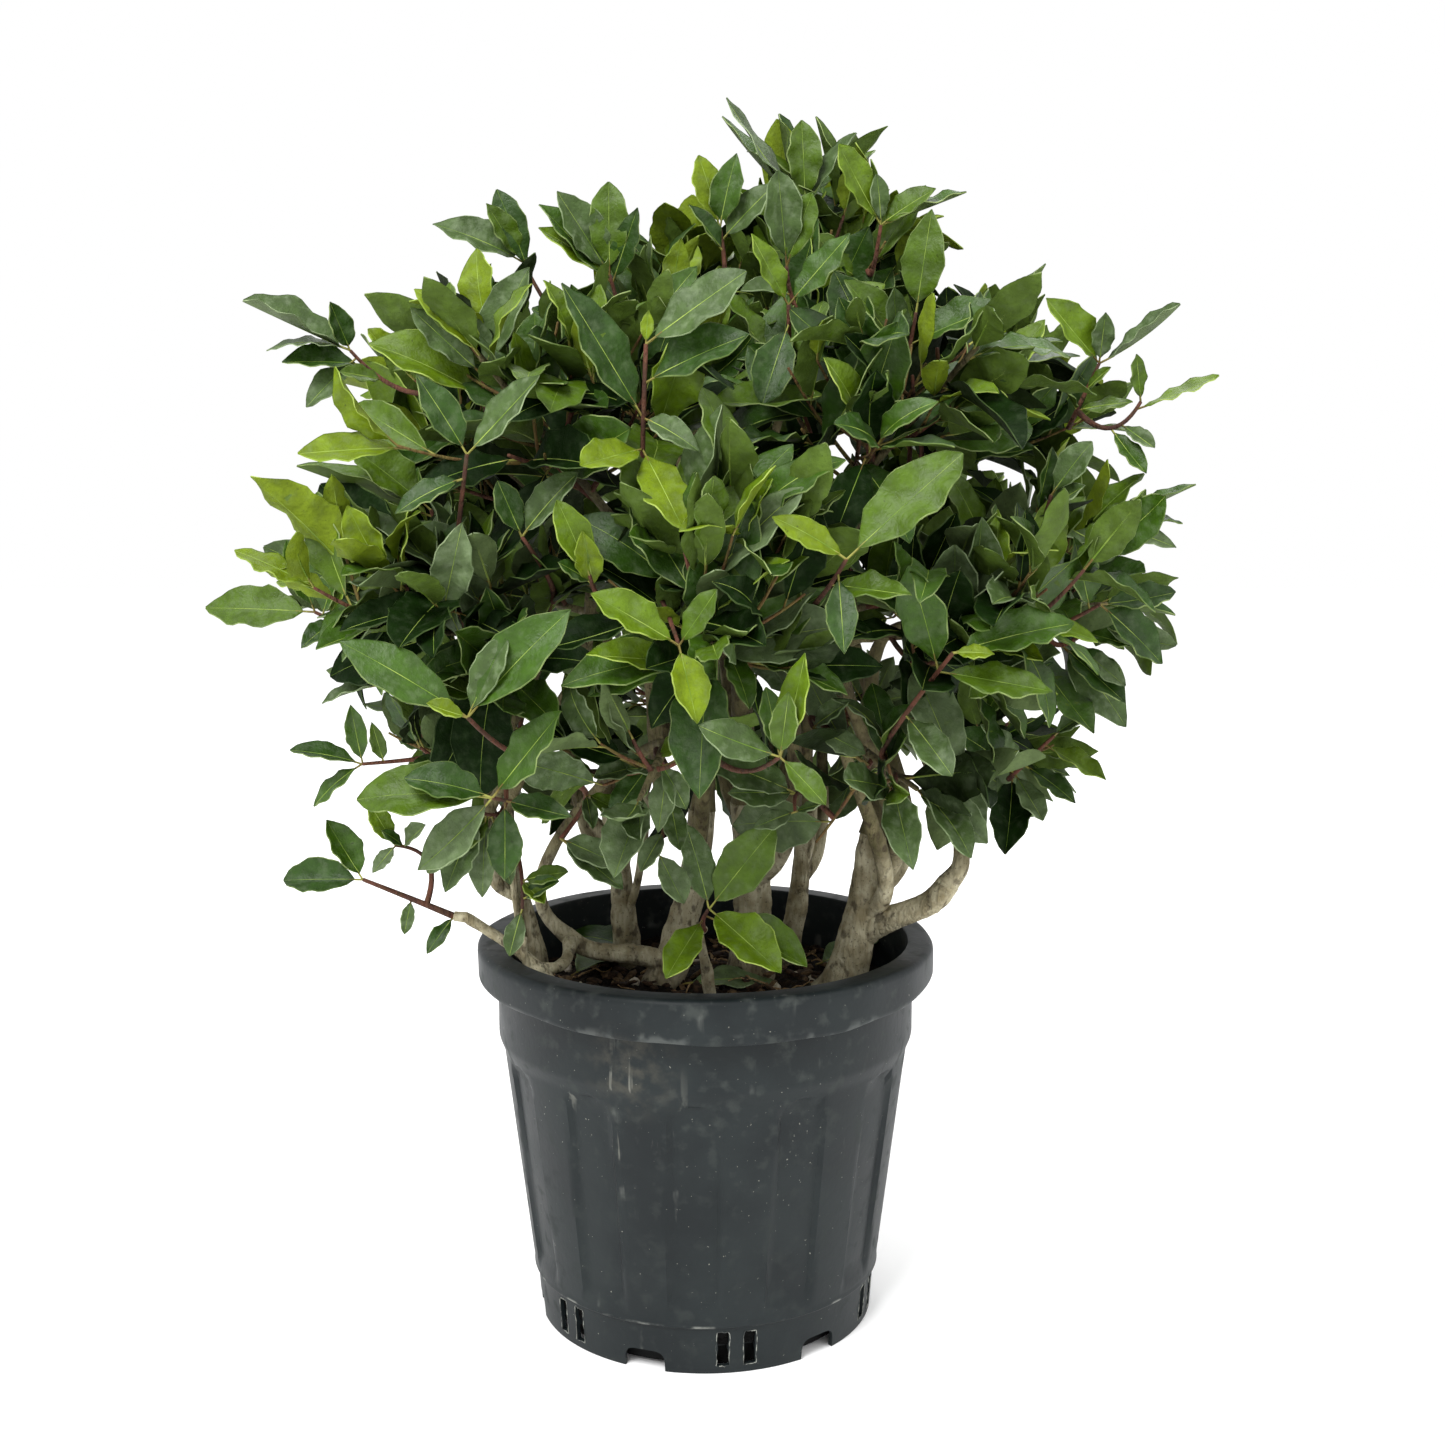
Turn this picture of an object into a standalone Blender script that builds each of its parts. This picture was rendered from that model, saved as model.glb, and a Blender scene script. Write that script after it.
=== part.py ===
# Potted bay laurel: a multi-stemmed evergreen shrub in a black nursery pot.
# Metres, +Z up, origin on the ground under the middle of the pot, front towards -Y.
# Each stem, bough and mass of foliage is its own solid; masses are twigs with leaves fused on.

import math
import random

import bmesh
import bpy
import numpy as np
from mathutils import Matrix, Vector
from mathutils.bvhtree import BVHTree

CLEAR = 0.0003  # gap between solids that touch on the real plant
UP = Vector((0, 0, 1))
SHARP_ANGLE = math.radians(40)  # edges that turn more than this stay sharp

# Pot, from its rim's real diameter of 280 mm
POT_HEIGHT = 0.235
RIM_RADIUS = 0.140
RIM_BAND = 0.026  # height of the turned-down rim
RIM_LIP = 0.0125  # how far the band stands out from the collar
COLLAR_BOTTOM = 0.172
LEDGE_HEIGHT = 0.030
LEDGE_RADIUS = 0.1073
FOOT_RADIUS = 0.1035
TAPER = 0.122  # outward lean of the wall, metres a metre
WALL = 0.0032
FLOOR_UNDERSIDE = 0.0135
POT_STEPS = 48
SOIL_STEPS = 24
FLUTES = 12
FLUTE_DEPTH = 0.0016
FLUTE_BOTTOM = 0.040
FLUTE_TOP = 0.158
FEET = 6  # arched notches in the foot ring, and as many pairs of drainage slots between them
NOTCH_RADIUS = 0.012
NOTCH_SIDES = 10
NOTCH_TURN = math.radians(-52)
SLOT_WIDTH = 0.0070
SLOT_BOTTOM = 0.006
SLOT_TOP = 0.0255
SLOT_SPREAD = 0.0165  # between the middles of the two slots of a pair
CUT_DEPTH = 0.016  # of a notch or slot, along the pot's radius
SOIL_TOP = 0.200

# Stems: foot on the soil, tip at the fork, radii at both, and how far the middle bows out
STEMS = {
    "stem_right": ((0.079, -0.014), (0.103, -0.008, 0.300), (0.0120, 0.0095), -0.004),
    "stem_rear": ((0.050, 0.062), (0.064, 0.062, 0.300), (0.0068, 0.0056), -0.003),
    "stem_middle": ((0.029, 0.034), (0.026, 0.030, 0.313), (0.0128, 0.0105), 0.003),
    "stem_left": ((-0.030, 0.012), (-0.002, 0.016, 0.310), (0.0098, 0.0082), -0.005),
    "stem_back": ((-0.052, 0.060), (-0.062, 0.066, 0.300), (0.0080, 0.0064), 0.003),
    "stem_side": ((-0.104, 0.022), (-0.131, 0.026, 0.296), (0.0058, 0.0046), 0.004),
    "stem_low_left": ((-0.084, -0.050), (-0.142, -0.040, 0.256), (0.0038, 0.0028), 0.018),
    "stem_front": ((0.006, -0.052), (-0.004, -0.076, 0.260), (0.0032, 0.0024), 0.002),
}
STOUT = 0.007  # a foot's radius from which a stem has ten sides
STEM_SUNK = 0.004  # below the soil's top, before the flat cut
FLARE = 1.35  # girth of a foot against the stem just above it
FLARE_HEIGHT = 0.014
BARK = (0.29, 0.26, 0.20)
YOUNG_BARK = (0.20, 0.19, 0.12)
DEEP_GREEN, FRESH_GREEN = (0.045, 0.13, 0.028), (0.085, 0.175, 0.028)

# Limbs that leave a stem low down and are split where they bend: parent, share of its length,
# far end, radii at both ends
LOW_LIMBS = {
    "limb_creeping": ("stem_left", 0.16, (-0.086, -0.004, 0.236), (0.0062, 0.0052)),
    "limb_right_knee": ("stem_right", 0.40, (0.146, -0.030, 0.275), (0.0078, 0.0066)),
}

# The foliage: its heart, and the rounded lobes that bound it. A lobe is its middle, its half sizes
# sideways and forwards, then a half height with the power of its curve, above and below its middle.
HEART = Vector((0.006, 0.0, 0.415))
LOBES = {
    "skirt": ((0.006, 0.0, 0.445), (0.270, 0.268), (0.208, 3.0), (0.203, 2.0)),
    "tuft": ((0.020, 0.0, 0.500), (0.178, 0.176), (0.226, 2.2), (0.260, 2.0)),
    "left": ((-0.200, -0.040, 0.268), (0.066, 0.050), (0.044, 2.0), (0.038, 2.0)),
    "front": ((0.012, -0.110, 0.270), (0.085, 0.060), (0.060, 2.0), (0.040, 2.0)),
}
# Masses in rings about the heart: how steeply they rise, where the ring starts, where a bough hands
# over to its mass, and for each mass the limb that carries it, how far along that limb its bough
# leaves, and how far its longest shoot stands out of the lobe
RINGS = {
    "low": {
        "lobe": "skirt",
        "rise": -20,
        "first": 0,
        "entry": 0.60,
        "carried": [
            ("limb_right_knee", 1.00, 1.00),
            ("stem_rear", 0.62, 1.00),
            ("stem_back", 0.42, 1.00),
            ("stem_back", 0.66, 1.00),
            ("stem_side", 0.60, 1.00),
            ("limb_creeping", 1.00, 1.00),
            ("stem_right", 0.56, 1.00),
        ],
    },
    "middle": {
        "lobe": "skirt",
        "rise": 6,
        "first": 0,
        "entry": 0.46,
        "carried": [
            ("stem_right", 1.00, 1.10),
            ("stem_rear", 1.00, 1.04),
            ("stem_rear", 0.84, 1.08),
            ("stem_back", 1.00, 1.04),
            ("stem_side", 1.00, 1.13),
            ("stem_side", 0.80, 1.04),
            ("stem_left", 0.62, 1.08),
            ("stem_right", 0.74, 1.04),
        ],
    },
    "shoulder": {
        "lobe": "skirt",
        "rise": 38,
        "first": 20,
        "entry": 0.44,
        "carried": [
            ("stem_right", 0.66, 1.06),
            ("stem_middle", 0.70, 1.03),
            ("stem_back", 0.84, 1.04),
            ("stem_left", 0.80, 1.03),
            ("stem_middle", 0.58, 1.05),
        ],
    },
    "top": {
        "lobe": "tuft",
        "rise": 74,
        "first": 350,
        "entry": 0.42,
        "carried": [("stem_middle", 1.00, 1.03), ("stem_middle", 0.84, 0.99), ("stem_left", 1.00, 0.98)],
    },
}
CORE_SHARE = 0.60  # where a mass's own middle lies between the heart and its furthest tip
# Sprays that hang low and stand apart: lobe, the thin stem that each ends, furthest tip, twigs and
# leaves on its stem
SPRAYS = {
    "spray_left": ("left", "stem_low_left", (-0.262, -0.044, 0.270), 4, 3),
    "spray_front": ("front", "stem_front", (0.044, -0.142, 0.252), 0, 5),
}
BOUGH_RADII = (0.0058, 0.0026)
BOUGH_RINGS = 5
BOUGH_SEAT = 0.007  # straight length at each end of a bough
BOUGH_OF_PARENT = 0.86  # a side bough's foot against the limb that carries it, at most
BOUGH_ALONG_PARENT = 0.45  # how far a side bough leaves along that limb and not square to it
LOWEST_LEAF = 0.246  # of the crown, so that the stems show below it

# Foliage, with fewer and larger leaves than the plant's own
LEAF_LENGTH = (0.073, 0.097)
LEAF_WIDTH = 0.45  # of its length
LEAF_OUTLINE = ((0.0, 0.0), (0.34, 1.0), (0.70, 0.76), (1.0, 0.0))  # shares of length and half width
LEAF_KEEL = 0.13  # how far the rib lies below the edges, as a share of the half width
LEAF_DROOP = 0.04  # how far the tip hangs, as a share of the length
LEAF_ROOT = 0.001  # how deep the last leaf of a twig is sunk in the twig's end
TWIG_RADIUS = 0.0017
TWIG_TIP_RADIUS = 0.0011
TWIGS = 6  # on a mass's stem
TWIG_SHARES = (0.06, 0.86)  # where the first and the last leave the stem
TWIG_SPREADS = (66, 40)  # degrees from the stem, of the first and the last
TWIG_OF_ROOM = 0.68  # length against the room in front of it
TWIG_LENGTHS = (0.025, 0.110)  # shortest and longest
LEAVES_ON_STEM = 5
LEAF_STEP = 0.022  # between leaves on a stem
LEAF_SHARES = (0.90, 0.64, 0.38)  # where leaves leave a twig, below the one at its end
LEAF_SPREAD = 52  # degrees from the twig
LAST_LEAF_SPREAD = 12
LIFT = 0.12  # how much shoots and leaves turn up
TRIES = 14
FIRST_SEED = 11


def clear_scene():
    for obj in list(bpy.data.objects):
        bpy.data.objects.remove(obj)


def new_collection(name):
    collection = bpy.data.collections.new(name)
    bpy.context.scene.collection.children.link(collection)
    return collection


def new_material(name, colour, roughness):
    material = bpy.data.materials.new(name)
    material.use_nodes = True
    shader = material.node_tree.nodes["Principled BSDF"]
    shader.inputs["Base Color"].default_value = (*colour, 1)
    shader.inputs["Roughness"].default_value = roughness
    shader.inputs["Metallic"].default_value = 0
    return material


def add_object(name, data, collection, material=None):
    obj = bpy.data.objects.new(name, data)
    collection.objects.link(obj)
    if material is not None:
        data.materials.clear()
        data.materials.append(material)
    return obj


def mesh_of(bm, name):
    mesh = bpy.data.meshes.new(name)
    bm.to_mesh(mesh)
    bm.free()
    return mesh


def as_mesh_object(obj, collection, material=None):
    """A curve or modified object made a plain mesh, with its caps welded and its sides smooth."""
    bpy.context.view_layer.update()
    graph = bpy.context.evaluated_depsgraph_get()
    mesh = bpy.data.meshes.new_from_object(obj.evaluated_get(graph))
    mesh.transform(obj.matrix_world)
    bm = bmesh.new()
    bm.from_mesh(mesh)
    bmesh.ops.remove_doubles(bm, verts=bm.verts, dist=0.00001)
    bm.to_mesh(mesh)
    bm.free()
    mesh.shade_smooth()
    mesh.set_sharp_from_angle(angle=SHARP_ANGLE)
    name = obj.name
    bpy.data.objects.remove(obj)
    return add_object(name, mesh, collection, material)


def boolean(obj, other, operation):
    """Applies one Boolean with an object, or with every object of a collection."""
    modifier = obj.modifiers.new(operation.lower(), "BOOLEAN")
    modifier.operation = operation
    modifier.solver = "EXACT"
    if isinstance(other, bpy.types.Collection):
        modifier.operand_type = "COLLECTION"
        modifier.collection = other
    else:
        modifier.object = other
    bpy.context.view_layer.update()
    graph = bpy.context.evaluated_depsgraph_get()
    mesh = bpy.data.meshes.new_from_object(obj.evaluated_get(graph))
    obj.modifiers.clear()
    obj.data = mesh


def tree_of(mesh):
    """The search tree that finds where a mesh meets another."""
    return BVHTree.FromPolygons([v.co for v in mesh.vertices], [tuple(p.vertices) for p in mesh.polygons])


def turned(name, profile, steps, collection, material):
    """A profile of (radius, height) points turned about Z. It starts and ends on the axis."""
    mesh = bpy.data.meshes.new(name)
    edges = [(i, i + 1) for i in range(len(profile) - 1)]
    mesh.from_pydata([(r, 0, z) for r, z in profile], edges, [])
    obj = add_object(name, mesh, collection, material)
    screw = obj.modifiers.new("turn", "SCREW")
    screw.steps = screw.render_steps = steps
    screw.use_merge_vertices = True
    screw.merge_threshold = 0.00001
    return as_mesh_object(obj, collection, material)


def wall_radius(height):
    return LEDGE_RADIUS + TAPER * (height - LEDGE_HEIGHT)


def pot_inner_radius(height):
    return wall_radius(min(height, COLLAR_BOTTOM)) - WALL


def make_pot(collection, cutters):
    band_bottom = POT_HEIGHT - RIM_BAND
    collar = RIM_RADIUS - RIM_LIP
    inside = collar - WALL
    profile = [
        (0, FLOOR_UNDERSIDE + WALL),
        (pot_inner_radius(FLOOR_UNDERSIDE + WALL), FLOOR_UNDERSIDE + WALL),
        (pot_inner_radius(COLLAR_BOTTOM), COLLAR_BOTTOM - 0.004),
        (inside, COLLAR_BOTTOM + 0.006),
        (inside, POT_HEIGHT),
        (RIM_RADIUS - 0.004, POT_HEIGHT),
        (RIM_RADIUS, POT_HEIGHT - 0.006),
        (RIM_RADIUS, band_bottom),
        (collar, band_bottom),
        (collar, COLLAR_BOTTOM + 0.004),
        (wall_radius(FLUTE_TOP), FLUTE_TOP),
        (wall_radius(FLUTE_TOP - 0.012), FLUTE_TOP - 0.012),
        (wall_radius(FLUTE_BOTTOM + 0.006), FLUTE_BOTTOM + 0.006),
        (wall_radius(FLUTE_BOTTOM), FLUTE_BOTTOM),
        (LEDGE_RADIUS, LEDGE_HEIGHT),
        (LEDGE_RADIUS - 0.0016, LEDGE_HEIGHT - 0.0008),
        (FOOT_RADIUS, 0),
        (FOOT_RADIUS - WALL, 0),
        (LEDGE_RADIUS - 0.0018 - WALL, FLOOR_UNDERSIDE),
        (0, FLOOR_UNDERSIDE),
    ]
    profile.reverse()
    plastic = new_material("pot_plastic", (0.028, 0.034, 0.038), 0.52)
    pot = turned("pot", profile, POT_STEPS, collection, plastic)
    press_flutes(pot.data)
    for k in range(FEET):
        notch_turn = NOTCH_TURN + math.tau * k / FEET
        cut_out(pot, cutters, arch_cutter(notch_turn))
        for side in (-0.5, 0.5):
            cut_out(pot, cutters, slot_cutter(notch_turn + math.pi / FEET, side * SLOT_SPREAD))
    return pot


def press_flutes(mesh):
    """Presses every other stretch of the wall in, between the collar and the ledge."""
    per_flute = POT_STEPS // FLUTES
    for vertex in mesh.vertices:
        x, y, z = vertex.co
        radius = math.hypot(x, y)
        outer = radius > wall_radius(z) - 0.5 * WALL
        column = round(math.atan2(y, x) / math.tau * POT_STEPS) % per_flute
        if outer and column < per_flute // 2 and FLUTE_BOTTOM + CLEAR < z < FLUTE_TOP - CLEAR:
            vertex.co *= 1 - FLUTE_DEPTH / radius
            vertex.co.z = z


def slot_cutter(turn, sideways):
    """A box through the wall beside a radius of the pot."""
    bm = bmesh.new()
    place = Matrix.Translation((FOOT_RADIUS, sideways, (SLOT_BOTTOM + SLOT_TOP) / 2))
    size = Matrix.Diagonal((CUT_DEPTH, SLOT_WIDTH, SLOT_TOP - SLOT_BOTTOM, 1))
    bmesh.ops.create_cube(bm, size=1, matrix=Matrix.Rotation(turn, 4, "Z") @ place @ size)
    return mesh_of(bm, "slot")


def arch_cutter(turn):
    """A drum lying along a radius of the pot, half below the ground."""
    bm = bmesh.new()
    place = Matrix.Translation((FOOT_RADIUS, 0, 0)) @ Matrix.Rotation(math.pi / 2, 4, "Y")
    bmesh.ops.create_cone(
        bm,
        cap_ends=True,
        segments=NOTCH_SIDES,
        radius1=NOTCH_RADIUS,
        radius2=NOTCH_RADIUS,
        depth=CUT_DEPTH,
        matrix=Matrix.Rotation(turn, 4, "Z") @ place,
    )
    return mesh_of(bm, "arch")


def cut_out(obj, cutters, mesh):
    """Cuts a mesh's shape out of an object."""
    cutter = add_object("cutter", mesh, cutters)
    cutter.hide_render = True
    cutter.display_type = "WIRE"
    boolean(obj, cutter, "DIFFERENCE")
    bpy.data.objects.remove(cutter)


def make_soil(collection):
    floor = FLOOR_UNDERSIDE + WALL + CLEAR
    gap = 2 * CLEAR
    inside = RIM_RADIUS - RIM_LIP - WALL
    profile = [
        (0, SOIL_TOP),
        (inside - gap, SOIL_TOP),
        (inside - gap, COLLAR_BOTTOM + 0.007),
        (pot_inner_radius(COLLAR_BOTTOM) - gap, COLLAR_BOTTOM - 0.004),
        (pot_inner_radius(floor) - gap, floor),
        (0, floor),
    ]
    earth = new_material("potting_soil", (0.030, 0.020, 0.013), 0.95)
    return turned("soil", profile, SOIL_STEPS, collection, earth)


def bezier(a, b, c, d, t):
    s = 1 - t
    return a * s**3 + b * (3 * s * s * t) + c * (3 * s * t * t) + d * t**3


class Limb:
    """One tapering limb along a smooth path, with its radius at each point."""

    def __init__(self, points, radii):
        self.points = points
        self.radii = radii

    def at(self, share):
        """Place, heading and radius at a share of the limb's length."""
        steps = len(self.points) - 1
        k = min(int(share * steps), steps - 1)
        part = share * steps - k
        heading = (self.points[k + 1] - self.points[k]).normalized()
        radius = self.radii[k] * (1 - part) + self.radii[k + 1] * part
        return self.points[k].lerp(self.points[k + 1], part), heading, radius

    def beyond(self):
        """The place just clear of the limb's tip."""
        tip, heading, _ = self.at(1)
        return tip + heading * CLEAR

    def guard(self):
        """The same limb a little stouter and longer, which is what its neighbours keep clear of."""
        tip, heading, _ = self.at(1)
        points = self.points[:-1] + [tip + heading * (0.6 * CLEAR)]
        return Limb(points, [radius + CLEAR for radius in self.radii])

    def solid(self, name, collection, material, sides):
        data = bpy.data.curves.new(name, "CURVE")
        data.dimensions = "3D"
        data.bevel_depth = 1.0
        data.bevel_resolution = (sides - 4) // 2
        data.use_fill_caps = True
        spline = data.splines.new("POLY")
        spline.points.add(len(self.points) - 1)
        for point, place, radius in zip(spline.points, self.points, self.radii):
            point.co = (*place, 1)
            point.radius = radius
        return as_mesh_object(add_object(name, data, collection), collection, material)


def stem_limb(foot, tip, radii, bow, onward):
    """A stem from under the soil's top to its tip: a flared foot, a slight bow, a seat for any spray."""
    foot, tip = Vector((*foot, SOIL_TOP - STEM_SUNK)), Vector(tip)
    side = Vector((tip.x - foot.x, tip.y - foot.y, 0)).normalized()
    thick, thin = radii
    points, radii = [], []
    for k in range(BOUGH_RINGS):
        t = k / (BOUGH_RINGS - 1)
        place = foot.lerp(tip, t) - side * (bow * math.sin(math.pi * t))
        flare = 1 + (FLARE - 1) * max(0.0, 1 - (place.z - SOIL_TOP) / FLARE_HEIGHT)
        points.append(place)
        radii.append((thick + (thin - thick) * t) * flare)
    if onward:
        points.append(tip + (Vector(onward) - tip).normalized() * BOUGH_SEAT)
        radii.append(thin)
    return Limb(points, radii)


def bending_limb(start, leave, end, arrive, radii):
    """A limb that leaves one way and arrives another: a smooth cubic with a straight seat at each end."""
    near, far = start + leave * BOUGH_SEAT, end - arrive * BOUGH_SEAT
    third = (far - near).length / 3
    points = [start]
    for k in range(BOUGH_RINGS):
        points.append(bezier(near, near + leave * third, far - arrive * third, far, k / (BOUGH_RINGS - 1)))
    points.append(end)
    last = len(points) - 1
    return Limb(points, [radii[0] + (radii[1] - radii[0]) * k / last for k in range(last + 1)])


def direction_of(azimuth, rise):
    a, e = math.radians(azimuth), math.radians(rise)
    return Vector((math.cos(a) * math.cos(e), math.sin(a) * math.cos(e), math.sin(e)))


def inside_lobe(points, lobe, reach=1.0):
    """Whether all of some points lie in a lobe: a super-ellipsoid with unlike upper and lower halves."""
    middle, (wide, deep), above, below = lobe
    x, y, z = (points - np.array(middle)).T / reach
    height, power = (np.where(z > 0, up, down) for up, down in zip(above, below))
    total = np.abs(x / wide) ** power + np.abs(y / deep) ** power + np.abs(z / height) ** power
    return bool((total < 1).all())


def skin_point(start, direction, lobe):
    """The point where a straight way from inside a lobe meets its skin."""
    near, far = 0.0, 1.0
    for _ in range(30):
        half = (near + far) / 2
        if inside_lobe(np.array([start + direction * half]), lobe):
            near = half
        else:
            far = half
    return start + direction * near


class Space:
    """The room that one mass keeps to: nearer to its middle than to any other, and inside its lobe."""

    def __init__(self, index, middles, lobe, reach, lowest):
        self.own = middles[index]
        self.others = np.delete(middles, index, axis=0)
        self.gaps = 2 * np.linalg.norm(self.others - self.own, axis=1)
        self.lobe = lobe
        self.reach = reach
        self.lowest = lowest

    def holds(self, points):
        near = ((points - self.own) ** 2).sum(1)[:, None]
        far = ((points[:, None, :] - self.others[None]) ** 2).sum(2)
        if ((far - near) / self.gaps < 2 * CLEAR).any() or points[:, 2].min() < self.lowest:
            return False
        return inside_lobe(points, self.lobe, self.reach)


def leaf_mesh(name, root, along, normal, length):
    """A leaf of eight faces: the hull of its outline, with the rib as its keel and the tip hanging."""
    across = normal.cross(along).normalized()
    half_width = length * LEAF_WIDTH / 2
    bm = bmesh.new()
    for share, wide in LEAF_OUTLINE:
        lift = LEAF_KEEL * half_width * wide - LEAF_DROOP * length * share**2
        rib = root + along * (length * share) + normal * lift
        for side in (-1, 1) if wide else (0,):
            bm.verts.new(rib + across * (side * half_width * wide))
    bmesh.ops.convex_hull(bm, input=bm.verts)
    return mesh_of(bm, name)


def sideways(axis, turn):
    """A unit vector square to an axis, turned round it."""
    return Matrix.Rotation(turn, 3, axis) @ axis.orthogonal().normalized()


def twig_mesh(name, start, end, thick, thin):
    """A three-sided tapering twig, whose faces look out at the turns that face_turn gives."""
    axis = (end - start).normalized()
    side = sideways(axis, 0)
    frame = Matrix((side, axis.cross(side), axis)).transposed().to_4x4()
    bm = bmesh.new()
    bmesh.ops.create_cone(
        bm,
        cap_ends=True,
        segments=3,
        radius1=thick,
        radius2=thin,
        depth=(end - start).length,
        matrix=Matrix.Translation((start + end) / 2) @ frame,
    )
    return mesh_of(bm, name)


def face_turn(number):
    """The turn round a twig that looks out of the middle of one of its three faces."""
    return math.radians(30 + 120 * number)


class Mass:
    """Twigs on one stem, with leaves; each is kept only where it fits its space and touches nothing."""

    def __init__(self, name, space, solids, seed):
        self.name = name
        self.space = space
        self.solids = solids
        self.random = random.Random(seed)
        self.twigs = []
        self.leaves = []

    def fits(self, mesh, but):
        """The search tree of a twig or leaf that fits, or None."""
        if not self.space.holds(np.array([v.co for v in mesh.vertices])):
            return None
        tree = tree_of(mesh)
        grown = [other for other, twig in self.twigs if twig is not but] + [other for other, _ in self.leaves]
        return None if any(tree.overlap(other) for other in self.solids + grown) else tree

    def grow_twig(self, stem, start, end):
        mesh = twig_mesh(self.name + "_twig", start, end, TWIG_RADIUS, TWIG_TIP_RADIUS)
        tree = self.fits(mesh, stem)
        if tree is None:
            return None
        self.twigs.append((tree, mesh))
        return mesh

    def grow_leaf(self, twig, root, heading, turn, spread):
        """Tries a leaf that leaves its twig at an angle and faces out, turned round it until it fits."""
        draw = self.random
        for attempt in range(TRIES):
            outward = sideways(heading, face_turn(turn + attempt) + draw.uniform(-0.3, 0.3))
            angle = math.radians(spread) * draw.uniform(0.75, 1.3)
            along = (heading * math.cos(angle) + outward * math.sin(angle) + UP * LIFT).normalized()
            face = (root - HEART).normalized() + UP * 0.6 + heading * 0.3
            normal = (face - along * face.dot(along)).normalized()
            length = draw.uniform(*LEAF_LENGTH) * (1 - 0.025 * attempt)
            if self.keep_leaf(twig, leaf_mesh(self.name + "_leaf", root, along, normal, length)):
                return

    def keep_leaf(self, twig, mesh):
        tree = self.fits(mesh, twig)
        if tree is not None:
            self.leaves.append((tree, mesh))
        return tree is not None

    def grow(self, start, tip, radius, twigs, leaves):
        """A stem to its furthest leaf's tip, twigs that leave it by turns all round, and leaves on both."""
        draw = self.random
        heading = (tip - start).normalized()
        end = tip - heading * (LEAF_LENGTH[0] - LEAF_ROOT)
        length = (end - start).length
        stem = twig_mesh(self.name, start, end, radius, TWIG_TIP_RADIUS)
        self.twigs.append((tree_of(stem), stem))
        normal = (UP - heading * UP.dot(heading) + sideways(heading, 0) * 0.3).normalized()
        last = leaf_mesh(self.name + "_leaf", end - heading * LEAF_ROOT, heading, normal, LEAF_LENGTH[0])
        self.leaves.append((tree_of(last), last))
        shoots = []
        for k in range(twigs):
            part = k / (twigs - 1)
            foot = start + heading * (length * (TWIG_SHARES[0] * (1 - part) + TWIG_SHARES[1] * part))
            angle = math.radians(TWIG_SPREADS[0] * (1 - part) + TWIG_SPREADS[1] * part)
            outward = sideways(heading, face_turn(k) + draw.uniform(-0.7, 0.7))
            along = (heading * math.cos(angle) + outward * math.sin(angle) + UP * LIFT).normalized()
            size = min(TWIG_OF_ROOM * self.room(foot, along), TWIG_LENGTHS[1]) * draw.uniform(0.88, 1.0)
            if size > TWIG_LENGTHS[0]:
                twig = self.grow_twig(stem, foot, foot + along * size)
                if twig is not None:
                    shoots.append((twig, foot, along, size))
        step = min(LEAF_STEP, (length - 0.004) / leaves)
        for k in range(leaves):
            self.grow_leaf(stem, end - heading * (0.003 + step * k), heading, k, LEAF_SPREAD)
        for number, (twig, foot, along, size) in enumerate(shoots):
            self.grow_leaf(twig, foot + along * (size - LEAF_ROOT), along, number, LAST_LEAF_SPREAD)
            for k, share in enumerate(LEAF_SHARES):
                self.grow_leaf(twig, foot + along * (size * share), along, number + k, LEAF_SPREAD)

    def room(self, foot, along):
        """How far a straight way runs from a point before it leaves the space, to the next centimetre."""
        reach = 0.0
        while reach < 2 * TWIG_LENGTHS[1] and self.space.holds(np.array([foot + along * (reach + 0.01)])):
            reach += 0.01
        return reach

    def join(self, collection, material):
        """One Boolean union of the twigs and leaves into a single solid."""
        loose = new_collection(self.name + "_loose")
        for k, (_, mesh) in enumerate(self.twigs[1:] + self.leaves):
            add_object(f"{self.name}_{k}", mesh, loose)
        solid = add_object(self.name, self.twigs[0][1], collection, material)
        boolean(solid, loose, "UNION")
        for obj in list(loose.objects):
            bpy.data.objects.remove(obj)
        bpy.data.collections.remove(loose)
        return solid


def ground_cutter():
    """A block that fills everything up to just clear of the soil's top."""
    bm = bmesh.new()
    side = 2 * RIM_RADIUS
    middle = SOIL_TOP + CLEAR - side / 2
    bmesh.ops.create_cube(bm, size=side, matrix=Matrix.Translation((0, 0, middle)))
    return mesh_of(bm, "ground")


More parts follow.
